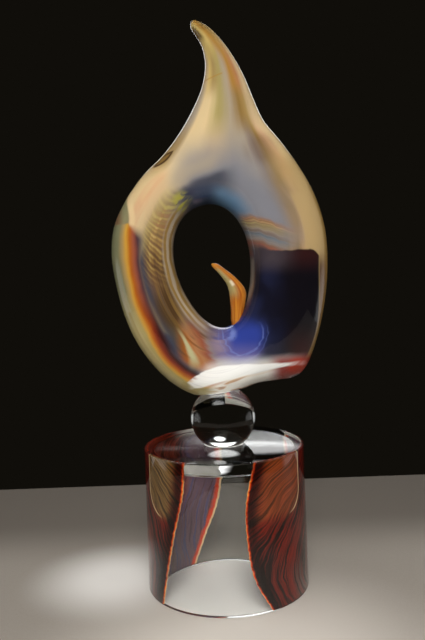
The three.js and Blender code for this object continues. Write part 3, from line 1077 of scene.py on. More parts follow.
@dataclass(frozen=True)
class CombedGlass:
    """The wings' colours: combed feathers from maroon to tan, a painted pool of light, and a
    painted glow along the front edge.
    """

    dark: Colour = hex_colour("#080303")
    maroon: Colour = hex_colour("#1c0806")
    brick: Colour = hex_colour("#74190a")
    salmon: Colour = hex_colour("#8a4022")
    rust: Colour = hex_colour("#6e3414")
    bark: Colour = hex_colour("#34190c")
    khaki: Colour = hex_colour("#7e6238")
    tan: Colour = hex_colour("#664824")
    olive: Colour = hex_colour("#2c2010")
    ash: Colour = hex_colour("#80645c")
    glow: Colour = hex_colour("#d03a0c")
    bright_glow: Colour = hex_colour("#f6a030")
    cream: Colour = hex_colour("#e0c496")
    inner: Colour = hex_colour("#6c525a")
    inner_blue: Colour = hex_colour("#4a4a6c")
    pale: Colour = hex_colour("#dedad0")
    roughness: float = 0.35
    inner_face_depth: float = 1.5

    def material(self, side: Side) -> bpy.types.Material:
        """Material of one wing.

        Args:
            side: which wing it is.

        Returns:
            The material.
        """
        at = WingShader(bpy.data.materials.new(f"combed_glass_{side.value}"))
        colour = self.petal(at, PETALS[side], self.lit_feathers(at, side))
        colour = self.front_edge(at, colour)
        colour = self.inner_face(at, colour)
        surface = at.principled(
            Base_Color=colour, Roughness=self.roughness, Specular_IOR_Level=0.1
        )
        return at.finish(surface)

    def dim_feathers(self, at: WingShader) -> Signal:
        """Dark and brick-red feathers of most of the wing, ashen low down.

        Args:
            at: the wing's shader.

        Returns:
            Their colour.
        """
        colour = at.ramp(
            at.feather,
            [
                (0.41, self.dark), (0.48, self.maroon), (0.52, self.brick), (0.57, self.maroon),
                (0.63, self.dark),
            ],
        )
        ashen = at.height.fall(6, 40) * at.arc.rise(26, 46) * at.thread.rise(0.46, 0.58)
        return at.blend(colour, self.ash, ashen * 0.5)

    def lit_feathers(self, at: WingShader, side: Side) -> Signal:
        """Paler feathers that fill the petal, the painted pool of light.

        Args:
            at: the wing's shader.
            side: which wing it is.

        Returns:
            Their colour.
        """
        shade, middle, bright = {
            Side.LEFT: (self.olive, self.tan, self.khaki),
            Side.RIGHT: (self.bark, self.rust, self.salmon),
        }[side]
        stops = [
            (0.38, self.dark), (0.43, shade), (0.46, middle), (0.50, bright), (0.53, middle),
            (0.56, shade), (0.60, bright),
        ]
        return at.ramp(at.feather, stops)

    def petal(self, at: WingShader, petal: Petal, lit: Signal) -> Signal:
        """Lay the petal, a painted pool of light with a cream painted highlight for its outline,
        over the dim feathers.

        Args:
            at: the wing's shader.
            petal: where the petal ends.
            lit: the colour inside it.

        Returns:
            The colour of both.
        """
        # Painted pool of light: the paler feathers inside a rounded lower corner of the wing.
        aside = ((at.turn - petal.turn) * petal.millimetres_per_degree).math("MAXIMUM", 0.0)
        under = (petal.height - at.height).math("MAXIMUM", 0.0)
        outside = (aside * aside + under * under).math("SQRT") - petal.radius
        ragged = outside + (at.feather - 0.5) * 34 * under.rise(6, 16)
        soft = under.rise(4, 14) * 5 + 0.4
        inside = (ragged / soft).fall(-1.0, 1.0)
        colour = at.blend(self.dim_feathers(at), lit, inside * at.arc.rise(3, 16))
        beyond = outside.band(0, 16, 3) * at.arc.rise(8, 20)
        colour = at.blend(colour, self.brick, beyond * at.thread.rise(0.44, 0.62) * 0.35)
        # Painted highlight: a cream line along the pool's edge.
        outline = abs(outside).fall(0.25, 0.85) * aside.rise(2, 12) * at.arc.rise(6, 14)
        return at.blend(colour, self.cream, outline * 0.75)

    def front_edge(self, at: WingShader, colour: Signal) -> Signal:
        """Painted glow along the toothed front edge, with a dark line beside it.

        Args:
            at: the wing's shader.
            colour: the colour so far.

        Returns:
            The colour with the edge laid over it.
        """
        dark_edge = at.near.fall(5, 12) * at.near.rise(1, 2.4) * at.thread.rise(0.3, 0.5)
        colour = at.blend(colour, self.dark, dark_edge * 0.75)
        # Painted glow: red light along the front edge, with brighter orange spots.
        teeth = at.noise(at.vector(0.0, at.height * 0.42, 2.0), 1.0, 3)
        ember = at.noise(at.vector(0.0, at.height * 0.06, 9.0), 1.0, 2)
        strength = ember.rise(0.34, 0.56) * 0.6 + 0.35
        colour = at.blend(colour, self.glow, (at.near + teeth * 2).fall(1.5, 2.4) * strength)
        hot = (at.near + teeth * 3 - ember).fall(0.7, 1.5) * ember.rise(0.3, 0.6)
        return at.blend(colour, self.bright_glow, hot)

    def inner_face(self, at: WingShader, colour: Signal) -> Signal:
        """Cool purple face that the wing turns to the hollow, red at its top and its edges.

        Args:
            at: the wing's shader.
            colour: the colour so far.

        Returns:
            The colour with the inner face laid over it.
        """
        edge = at.far.math("MINIMUM", at.near)
        tone = at.blend(self.inner, self.inner_blue, at.thread.rise(0.5, 0.66))
        tone = at.blend(tone, self.dark, at.thread.fall(0.34, 0.46) * 0.5)
        warm = at.ramp(
            at.thread,
            [(0.40, self.dark), (0.46, self.brick), (0.52, self.salmon), (0.58, self.brick)],
        )
        tone = at.blend(tone, warm, at.far.rise(28, 44) * at.height.rise(40, 70))
        tone = at.blend(tone, self.glow, (edge + at.thread * 5).fall(6.4, 9.0))
        tone = at.blend(tone, self.cream, edge.fall(1.4, 2.4) * 0.9)
        top = at.blend(self.dark, self.glow, at.thread.rise(0.45, 0.6) * 0.55)
        paleness = at.far.fall(20, 50) * (at.thread.rise(0.3, 0.5) * 0.4 + 0.6)
        top = at.blend(top, self.pale, paleness)
        tone = at.blend(tone, top, at.height.rise(98, 104))
        inward = at.depth.rise(self.inner_face_depth - 0.1, self.inner_face_depth + 0.1)
        return at.blend(colour, tone, inward)


# Mesh helpers


def to_object(
    bm: bmesh.types.BMesh, name: str, materials: list[bpy.types.Material]
) -> bpy.types.Object:
    """Bring a mesh from millimetres to metres and put it in the scene.

    Args:
        bm: the finished mesh, which is used up.
        name: the piece's name.
        materials: its material slots.

    Returns:
        The piece.
    """
    bmesh.ops.scale(bm, vec=(MM, MM, MM), verts=bm.verts)
    bmesh.ops.triangulate(bm, faces=[f for f in bm.faces if len(f.verts) > 4])
    for face in bm.faces:
        face.smooth = True
    mesh = bpy.data.meshes.new(name)
    bm.to_mesh(mesh)
    bm.free()
    for material in materials:
        mesh.materials.append(material)
    piece = bpy.data.objects.new(name, mesh)
    bpy.context.scene.collection.objects.link(piece)
    return piece


def keep_sharp(piece: bpy.types.Object, degrees: float) -> None:
    """Mark a piece's edges sharper than an angle, so that smooth shading stops there."""
    piece.data.set_sharp_from_angle(angle=math.radians(degrees))


def attach(piece: bpy.types.Object, node: str) -> None:
    """Let a piece stand for a node of the frame, and report it.

    Args:
        piece: the finished piece.
        node: the CAD node that it replaces.
    """
    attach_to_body(piece, ROOT)
    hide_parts(node)
    LOG.info("%s: %d faces, stands for %s", piece.name, len(piece.data.polygons), node)


def flipped_into(
    target: bmesh.types.BMesh, source: bmesh.types.BMesh, grow: float, slot: int
) -> None:
    """Add a closed mesh to another as a cavity.

    Args:
        target: the mesh that gets the cavity.
        source: the body that will fill it, left as it is.
        grow: how far the cavity stands off the body.
        slot: the material slot of the cavity's faces.
    """
    cavity = source.copy()
    cavity.normal_update()
    for vert in cavity.verts:
        vert.co += vert.normal * grow
    bmesh.ops.reverse_faces(cavity, faces=cavity.faces)
    for face in cavity.faces:
        face.material_index = slot
    scratch = bpy.data.meshes.new("cavity")
    cavity.to_mesh(scratch)
    cavity.free()
    target.from_mesh(scratch)
    bpy.data.meshes.remove(scratch)


def boundary_edges(bm: bmesh.types.BMesh) -> list[bmesh.types.BMEdge]:
    """Edges with a face on one side only."""
    return [edge for edge in bm.edges if edge.is_boundary]


def turned(profile: Edge, steps: int) -> bmesh.types.BMesh:
    """Closed body turned about the vertical axis.

    Args:
        profile: radius and height of its section's corners, from the axis back to the axis.
        steps: how many faces go round it.

    Returns:
        The mesh.
    """
    bm = bmesh.new()
    corners = [bm.verts.new((radius, 0, z)) for radius, z in profile]
    for a, b in zip(corners, corners[1:]):
        bm.edges.new((a, b))
    bmesh.ops.spin(
        bm, geom=bm.verts[:] + bm.edges[:], cent=(0, 0, 0), axis=(0, 0, 1),
        angle=2 * math.pi, steps=steps, use_merge=True,
    )
    bmesh.ops.remove_doubles(bm, verts=bm.verts, dist=MERGE)
    bmesh.ops.recalc_face_normals(bm, faces=bm.faces)
    return bm


def seat_normal(tilt: float) -> Vector:
    """Direction at right angles to a seat that leans towards the left by an angle."""
    return Vector((-math.sin(tilt), 0, math.cos(tilt)))


# Flame


@dataclass(frozen=True)
class Opening:
    """The ring's opening: a leaning oval, drawn out softly towards three corners."""

    x: float = -3.3
    z: float = 101.0
    half_width: float = 30.1
    half_height: float = 49.0
    lean: float = -0.086
    cornering: float = 0.043
    corner_turn: float = math.radians(50.4)

    def point(self, angle: float) -> Point:
        """Point of the edge.

        Args:
            angle: where it lies, clockwise from the top.

        Returns:
            Its x and z.
        """
        reach = 1 + self.cornering * math.cos(3 * (angle - self.corner_turn))
        up = self.half_height * reach * math.cos(angle)
        along = self.half_width * reach * math.sin(angle)
        return self.x + along + self.lean * up, self.z + up

    def angle_to(self, x: float, z: float) -> float:
        """Angle at which a point lies, seen from the middle of the opening."""
        up = z - self.z
        return math.atan2((x - self.x - self.lean * up) / self.half_width, up / self.half_height)


@dataclass(frozen=True)
class HornSwing:
    """Sideways swing of the horn's middle line over its height."""

    start: float = 151.0
    end: float = 191.0
    swing: float = 12.0
    bend_height: float = 235.5
    tip_height: float = 290.2
    tip_return: float = 22.6
    bend_power: float = 2.4

    def at(self, z: float) -> float:
        """Swing at a height."""
        bend = max(0.0, (z - self.bend_height) / (self.tip_height - self.bend_height))
        return self.swing * ease(self.start, self.end, z) - self.tip_return * bend**self.bend_power


class Outline:
    """A polyline in the flame's plane that measures distances to itself."""

    chunk: int = 2048  # points measured at a time

    def __init__(self, points: list[Point]) -> None:
        """Keep the polyline's segments.

        Args:
            points: its corners in order.
        """
        corners = np.array(points)
        self.starts = corners[:-1]
        self.steps = corners[1:] - corners[:-1]
        self.squares = (self.steps**2).sum(axis=1)

    def distance(self, points: np.ndarray) -> np.ndarray:
        """Least distance from each point.

        Args:
            points: an array of x and z.

        Returns:
            One distance for each point.
        """
        nearest = np.empty(len(points))
        for chunk in range(0, len(points), self.chunk):
            part = points[chunk : chunk + self.chunk, None, :] - self.starts[None]
            share = (part * self.steps).sum(axis=2) / self.squares
            gap = part - np.clip(share, 0, 1)[..., None] * self.steps
            nearest[chunk : chunk + self.chunk] = np.sqrt((gap**2).sum(axis=2).min(axis=1))
        return nearest


@dataclass
class FlameForm:
    """Shape of the flame in its own frame, where the foot plane crosses the base's axis."""

    rim: tuple[Point, ...] = (
        (-13, 290.2), (-2, 285.8), (11.7, 271.1), (24.2, 249.8), (31.8, 230.6), (39.6, 212.3),
        (53.4, 194.5), (67.6, 174), (78.9, 152), (86, 127), (87.6, 103), (86, 78), (80.9, 51),
        (73.2, 27), (67.4, 15.5), (59.2, 8.6), (45.2, 6.6), (28.8, 4.6), (14.6, -0.8), (-2.6, -5.6),
        (-16.4, -5), (-30, 0.4), (-43.4, 10), (-57.3, 25.6), (-68.5, 44), (-76.4, 65),
        (-81.5, 88.1), (-83.8, 111), (-80.8, 133.5), (-71, 153.2), (-56, 172.8), (-41, 186.5),
        (-27.1, 202.9), (-15, 222.1), (-6.9, 240), (-3.9, 256.3), (-6.1, 270.1), (-9.9, 277.6),
        (-14.3, 285.2),
    )
    heel_station: int = 15
    opening: Opening = Opening()
    horn: HornSwing = HornSwing()
    limb_fullness: float = 7.1
    tip_fullness: float = 4.2
    taper_start: float = 165.0
    facing: float = 0.15
    thinning_start: float = 200.0
    thinning: float = 0.66
    hole_cover: float = 0.35
    samples: int = 300
    bisections: int = 24
    lines_per_station: int = 7
    columns: int = 56
    least_gap: float = 1e-9
    left: Outline = field(init=False)
    right: Outline = field(init=False)
    edge: Outline = field(init=False)

    def __post_init__(self) -> None:
        """Sample the outlines that the depth is measured from."""
        heel = self.heel_station / len(self.rim)
        steps = np.linspace(0, 1, self.samples + 1)
        self.right = Outline([self.rim_point(heel * s) for s in steps])
        self.left = Outline([self.rim_point(heel + (1 - heel) * s) for s in steps])
        self.edge = Outline([self.opening.point(2 * math.pi * s) for s in steps])

    def rim_point(self, share: float) -> Point:
        """Point of the rim on a smooth closed curve through the stations.

        Args:
            share: place along the stations, from 0 to 1, clockwise from the horn's tip.

        Returns:
            The point's x and z.
        """
        count = len(self.rim)
        place = (share % 1.0) * count
        index = int(place)
        corners = [Vector(self.rim[(index + k) % count]) for k in (-1, 0, 1, 2)]
        spans = [math.sqrt((b - a).length) for a, b in zip(corners, corners[1:])]
        before, start, end, after = corners
        out = (start - before) / spans[0] - (end - before) / (spans[0] + spans[1])
        out = (out + (end - start) / spans[1]) * spans[1]
        into = (end - start) / spans[1] - (after - start) / (spans[1] + spans[2])
        into = (into + (after - end) / spans[2]) * spans[1]
        t = place - index
        point = start + out * t + (3 * (end - start) - 2 * out - into) * t**2
        point += (2 * (start - end) + out + into) * t**3
        return point.x, point.y

    def measures(self, points: np.ndarray) -> tuple[np.ndarray, np.ndarray]:
        """Distances to both edges.

        Args:
            points: an array of x and z.

        Returns:
            Soft distances to the rim, which round its corners off, and distances to the opening.
        """
        left = np.maximum(self.left.distance(points), self.least_gap)
        right = np.maximum(self.right.distance(points), self.least_gap)
        return 1 / (1 / left + 1 / right), self.edge.distance(points)

    def half_depth(self, points: np.ndarray, inset: float) -> np.ndarray:
        """Half the depth of the body that lies inset inside the flame's edges.

        Args:
            points: an array of x and z.
            inset: the distance from the rim and from the opening at which it ends.

        Returns:
            One half depth for each point.
        """
        inset = inset * self.inset_scale(points[:, 1])
        rim, hole = self.measures(points)
        rim = np.maximum(rim - inset, self.least_gap)
        hole = np.maximum(hole - inset * self.hole_cover, self.least_gap)
        width = 1 / (1 / rim + 1 / hole)
        rise = (points[:, 1] - self.taper_start) / (self.horn.tip_height - self.taper_start)
        taper = np.clip(rise, 0, 1)
        fullness = mix(self.limb_fullness, self.tip_fullness, taper) - self.facing * inset
        return fullness * np.sqrt(width)

    def inset_scale(self, heights: np.ndarray) -> np.ndarray:
        """Share of the inset that is left at each height, as the casing thins towards the tip."""
        rise = (heights - self.thinning_start) / (self.horn.tip_height - self.thinning_start)
        return 1 - self.thinning * np.clip(rise, 0, 1)

    def lines(self, inset: float) -> tuple[np.ndarray, np.ndarray]:
        """Section lines from the opening to the rim, shortened to the inset body.

        Args:
            inset: the distance from the rim and from the opening at which the body ends.

        Returns:
            The inner and the outer ends, without the horn's swing.
        """
        count = len(self.rim) * self.lines_per_station
        inner, outer = [], []
        for i in range(count):
            x, z = self.rim_point(i / count)
            x -= self.horn.at(z)
            inner.append(self.opening.point(self.opening.angle_to(x, z)))
            outer.append((x, z))
        inner, outer = np.array(inner), np.array(outer)
        if inset <= 0:
            return inner, outer
        start = self._inset_share(inner, outer, inset, 0.0)
        end = self._inset_share(inner, outer, inset, 1.0)
        span = outer - inner
        return inner + span * start[:, None], inner + span * end[:, None]

    def swung(self, points: np.ndarray) -> np.ndarray:
        """The points with the horn's swing added."""
        swings = np.array([self.horn.at(z) for z in points[:, 1]])
        return points + np.stack([swings, np.zeros(len(points))], axis=1)

    def _inset_share(
        self, inner: np.ndarray, outer: np.ndarray, inset: float, start: float
    ) -> np.ndarray:
        """Share of each line where the inset body begins or ends.

        Args:
            inner: the lines' ends at the opening.
            outer: their ends at the rim.
            inset: the distance from the edge at which the body ends.
            start: 0 to look from the opening, 1 to look from the rim.

        Returns:
            One share for each line.
        """
        outside = np.full(len(inner), start)
        inside = np.full(len(inner), 0.5)
        for _ in range(self.bisections):
            middle = (outside + inside) / 2
            rim, hole = self.measures(self.swung(inner + (outer - inner) * middle[:, None]))
            limit = inset * self.inset_scale(inner[:, 1] + (outer - inner)[:, 1] * middle)
            out = hole < limit * self.hole_cover if start == 0 else rim < limit
            outside = np.where(out, middle, outside)
            inside = np.where(out, inside, middle)
        return inside

    def body(self, inset: float) -> bmesh.types.BMesh:
        """Closed ring-shaped mesh of the flame, or of the body inset inside it.

        Args:
            inset: the distance from the rim and from the opening at which the body ends.

        Returns:
            The mesh, with its flow and gap attributes, in the flame's frame.
        """
        inner, outer = self.lines(inset)
        count = len(inner)
        bm = bmesh.new()
        flow = bm.verts.layers.float_vector.new("flow")
        gaps = bm.verts.layers.float_vector.new("gaps")
        bmesh.ops.create_grid(bm, x_segments=count, y_segments=self.columns, size=0.5)
        bm.verts.ensure_lookup_table()
        places = np.array([vert.co.xy for vert in bm.verts]) + 0.5
        line = np.rint(places[:, 0] * count).astype(int) % count
        column = np.rint(places[:, 1] * self.columns).astype(int) % self.columns
        across = (1 - np.cos(2 * math.pi * column / self.columns)) / 2
        points = self.swung(inner[line] + (outer[line] - inner[line]) * across[:, None])
        depth = self.half_depth(points, inset)
        half = self.columns // 2
        depth[(column == 0) | (column == half)] = 0
        rim, hole = self.measures(points)
        to_left, to_right = self.left.distance(points), self.right.distance(points)
        lean = (to_left - to_right) / np.maximum(to_left + to_right, TINY)
        side = np.where(column < half, -1.0, 1.0)
        rows = zip(bm.verts, points, depth * side, across, rim, hole, lean)
        for vert, (x, z), y, share, to_rim, to_hole, sideways in rows:
            vert.co = (x, y, z)
            angle = self.opening.angle_to(x, z)
            vert[flow] = (share, math.cos(angle), math.sin(angle))
            vert[gaps] = (to_rim, to_hole, sideways)
        bmesh.ops.remove_doubles(bm, verts=bm.verts, dist=MERGE)
        bmesh.ops.recalc_face_normals(bm, faces=bm.faces)
        return bm


@dataclass
class Flame:
    """The flame: clear casing, marbled core and amber hook."""

    foot_height: float
    tilt: float
    casing: float = 3.0
    gap: float = 0.3
    form: FlameForm = field(default_factory=FlameForm)
    bubble_share: float = 0.315
    bubbles: tuple[tuple[float, float, float], ...] = (
        (61, 71, 1.17), (58, 37, 0.99), (19, 59, 1.26), (11, 43, 0.9), (70, 74, 0.72),
        (-30, 148, 0.72), (-24, 30, 0.63), (38, 150, 0.63),
    )
    hook_sides: int = 40
    hook_rings: int = 80
    hook_end_sharpness: float = 3.2
    hook: tuple[tuple[float, float, float], ...] = (
        (13, 46, 4.8), (14.6, 60.3, 5.4), (15.2, 70, 6.4), (15, 78.2, 6.8), (10.8, 86.6, 4.8),
        (4.2, 94, 3.2), (-0.2, 98.2, 2.6), (-4.8, 101.4, 1.9),
    )

    def cut_foot(self, bm: bmesh.types.BMesh) -> None:
        """Cut everything below the tilted foot plane away.

        Args:
            bm: the flame or its core.
        """
        everything = bm.verts[:] + bm.edges[:] + bm.faces[:]
        bmesh.ops.bisect_plane(
            bm, geom=everything, dist=CUT, plane_co=(0, 0, 0),
            plane_no=seat_normal(self.tilt), clear_inner=True,
        )

    def raised(self, bm: bmesh.types.BMesh) -> None:
        """Lift a mesh from the flame's frame to its place over the table."""
        bmesh.ops.translate(bm, verts=bm.verts, vec=(0, 0, self.foot_height))

    def build_core(self, material: bpy.types.Material) -> None:
        """Model the marbled core.

        Args:
            material: its finish.
        """
        bm = self.form.body(self.casing)
        self.cut_foot(bm)
        bmesh.ops.holes_fill(bm, edges=boundary_edges(bm), sides=0)
        self.raised(bm)
        attach(to_object(bm, "flame_core_marbled", [material]), "flame_core")

    def build_casing(self, clear: bpy.types.Material, joint: bpy.types.Material) -> None:
        """Model the clear casing with the cavity that the core fills.

        Args:
            clear: finish of the outer face.
            joint: finish of the face that is fused to the core.
        """
        bm = self.form.body(0.0)
        core = self.form.body(self.casing)
        flipped_into(bm, core, self.gap, JOINT_SLOT)
        core.free()
        self.cut_foot(bm)
        ring = bmesh.ops.bridge_loops(bm, edges=boundary_edges(bm))
        for face in ring["faces"]:
            face.material_index = JOINT_SLOT
        self.add_bubbles(bm)
        self.raised(bm)
        piece = to_object(bm, "flame_casing_clear", [clear, joint])
        attach(piece, "flame_casing")

    def add_bubbles(self, bm: bmesh.types.BMesh) -> None:
        """Blow a few small seed bubbles in the front half of the casing's clear layer.

        Args:
            bm: the casing.
        """
        spots = np.array([(x, z) for x, z, _ in self.bubbles])
        outer = self.form.half_depth(spots, 0.0)
        inner = self.form.half_depth(spots, self.casing)
        for (x, z, width), front, back in zip(self.bubbles, outer, inner):
            radius = min(width / 2, (front - back) * self.bubble_share)
            bubble = bmesh.new()
            bmesh.ops.create_icosphere(bubble, subdivisions=3, radius=radius)
            bmesh.ops.translate(bubble, verts=bubble.verts, vec=(x, -(front + back) / 2, z))
            flipped_into(bm, bubble, 0.0, CLEAR_SLOT)
            bubble.free()

    def build_hook(self, material: bpy.types.Material) -> None:
        """Model the amber hook that stands on the opening's lower right rim.

        Args:
            material: its finish.
        """
        bm = bmesh.new()
        layer = bm.verts.layers.float_vector.new("hook")
        bmesh.ops.create_uvsphere(
            bm, u_segments=self.hook_sides, v_segments=self.hook_rings, radius=1
        )
        for vert in bm.verts:
            share = 1 - math.acos(max(-1.0, min(1.0, vert.co.z))) / math.pi
            centre, along, radius = self.hook_station(share)
            ring = Vector((vert.co.x, vert.co.y))
            turn = ring.normalized() if ring.length > TINY else Vector((0, 0))
            end = math.sin(math.pi * share) * self.hook_end_sharpness
            reach = radius * min(1.0, end) ** 0.5
            vert[layer] = (share, turn.x, turn.y)
            side = Vector((along.y, 0, -along.x))
            spot = Vector((centre.x, 0, centre.y)) + side * (turn.x * reach)
            vert.co = spot + Vector((0, turn.y * reach, 0))
        bmesh.ops.recalc_face_normals(bm, faces=bm.faces)
        self.raised(bm)
        piece = to_object(bm, "amber_hook", [material])
        attach(piece, "inner_tongue")

    def hook_station(self, share: float) -> tuple[Vector, Vector, float]:
        """One section of the hook, on a smooth curve through its stations.

        Args:
            share: place along its length.

        Returns:
            Centre, direction and radius.
        """
        last = len(self.hook) - 1
        place = share * last
        index = min(int(place), last - 1)
        t = place - index
        a, b, c, d = [Vector(self.hook[min(max(index + k, 0), last)]) for k in range(-1, 3)]
        square, cube = 2 * a - 5 * b + 4 * c - d, 3 * b - a - 3 * c + d
        point = b + (c - a) * (t / 2) + square * (t**2 / 2) + cube * (t**3 / 2)
        slope = (c - a) / 2 + square * t + cube * (1.5 * t**2)
        return Vector(point.xy), Vector(slope.xy).normalized(), point.z


# Neck


@dataclass
class Neck:
    """The clear ball and the two glue films that hold it."""

    base_height: float
    ball_radius: float = 26.0
    lower_reach: float = 20.7
    upper_reach: float = 21.8
    film: float = 0.4
    gap: float = 0.3
    tilt: float = math.radians(6.5)
    squeeze_out: float = 0.35
    hair: float = 0.02
    ball_sides: int = 128
    ball_rings: int = 96
    film_sides: int = 96
    bead_steps: int = 8
    sharp_degrees: float = 25.0

    @property
    def centre(self) -> float:
        """Height of the ball's centre."""
        return self.base_height + self.film + self.lower_reach

    @property
    def foot_height(self) -> float:
        """Height at which the flame's foot plane crosses the axis."""
        return self.centre + (self.upper_reach + 2 * self.gap + self.film) / math.cos(self.tilt)

    @property
    def normal(self) -> Vector:
        """Direction of the flame's seat."""
        return seat_normal(self.tilt)

    def build_ball(self, clear: bpy.types.Material, joint: bpy.types.Material) -> None:
        """Model the ball with its ground flats.

        Args:
            clear: finish of the round face.
            joint: finish of the glued flats.
        """
        bm = bmesh.new()
        bmesh.ops.create_uvsphere(
            bm, u_segments=self.ball_sides, v_segments=self.ball_rings, radius=self.ball_radius
        )
        cuts = ((Vector((0, 0, -1)), self.lower_reach - self.hair), (self.normal, self.upper_reach))
        for direction, reach in cuts:
            everything = bm.verts[:] + bm.edges[:] + bm.faces[:]
            bmesh.ops.bisect_plane(
                bm, geom=everything, dist=CUT, plane_co=direction * reach,
                plane_no=direction, clear_outer=True,
            )
            flat = bmesh.ops.holes_fill(bm, edges=boundary_edges(bm), sides=0)
            for face in flat["faces"]:
                face.material_index = JOINT_SLOT
        bmesh.ops.translate(bm, verts=bm.verts, vec=(0, 0, self.centre))
        piece = to_object(bm, "clear_ball", [clear, joint])
        keep_sharp(piece, self.sharp_degrees)
        attach(piece, "ball")

    def film_mesh(self, reach: float) -> bmesh.types.BMesh:
        """Disc of glue with a rounded bead where it was squeezed out.

        Args:
            reach: the flat's distance from the ball's centre.

        Returns:
            The mesh, level and centred.
        """
        radius = math.sqrt(self.ball_radius**2 - reach**2)
        half = self.film / 2 - self.hair
        bead = []
        for i in range(self.bead_steps + 1):
            angle = math.pi * (i / self.bead_steps - 0.5)
            bead.append((radius + self.squeeze_out * math.cos(angle), half * math.sin(angle)))
        return turned(((0, -half), *bead, (0, half)), self.film_sides)

    def build_films(self, glue: bpy.types.Material) -> None:
        """Model both glue films.

        Args:
            glue: their finish.
        """
        lower = self.film_mesh(self.lower_reach)
        bmesh.ops.translate(lower, verts=lower.verts, vec=(0, 0, self.base_height + self.film / 2))
        attach(to_object(lower, "base_glue_bead", [glue]), "base_glue_film")
        upper = self.film_mesh(self.upper_reach)
        seat = self.upper_reach + self.gap + self.film / 2
        lean = Matrix.Rotation(-self.tilt, 3, "Y")
        bmesh.ops.rotate(upper, verts=upper.verts, cent=(0, 0, 0), matrix=lean)
        place = self.normal * seat + Vector((0, 0, self.centre))
        bmesh.ops.translate(upper, verts=upper.verts, vec=place)
        attach(to_object(upper, "neck_glue_bead", [glue]), "neck_glue_film")


# Base


@dataclass(frozen=True)
class WingEdges:
    """A wing's two long edges, as shares of the height and degrees from the front."""

    front: Edge
    back: Edge

    def degrees(self, edge: Edge, share: float) -> float:
        """Angle of an edge, on a smooth curve through its stations.

        Args:
            edge: the front or the back edge.
            share: share of the base's height.

        Returns:
            Degrees from the front.
        """
        index = 0
        while index < len(edge) - 2 and edge[index + 1][0] < share:
            index += 1
        (z0, a0), (z1, a1) = edge[index], edge[index + 1]
        slope_in = self._slope(edge, index)
        slope_out = self._slope(edge, index + 1)
        span = z1 - z0
        t = (share - z0) / span
        return (
            a0 * (2 * t**3 - 3 * t**2 + 1)
            + slope_in * span * (t**3 - 2 * t**2 + t)
            + a1 * (3 * t**2 - 2 * t**3)
            + slope_out * span * (t**3 - t**2)
        )

    def _slope(self, edge: Edge, index: int) -> float:
        """Slope of an edge's curve at a station.

        Args:
            edge: the front or the back edge.
            index: the station's number.

        Returns:
            Degrees for each full height.
        """
        low = edge[max(index - 1, 0)]
        high = edge[min(index + 1, len(edge) - 1)]
        return (high[1] - low[1]) / (high[0] - low[0])


WINGS = {
    Side.LEFT: WingEdges(
        front=((0, -52), (0.22, -46.5), (0.5, -39), (0.65, -34.4), (0.8, -30.5), (1, -29)),
        back=((0, -152), (0.2, -162.5), (0.35, -171), (0.52, -176.5), (0.87, -178.5), (1, -179)),
    ),
    Side.RIGHT: WingEdges(
        front=(
            (0, 30), (0.08, 25), (0.2, 18.4), (0.34, 14.4), (0.6, 12.2), (0.76, 13.2), (1, 19.5),
        ),
        back=((0, 138), (0.5, 128), (1, 121)),
    ),
}


class Corner(IntEnum):
    """Rounded corners of the cup, by their number in its profile."""

    UNDERSIDE = 1
    INNER_FOOT = 2
    OUTER_FOOT = 3
    TOP = 4


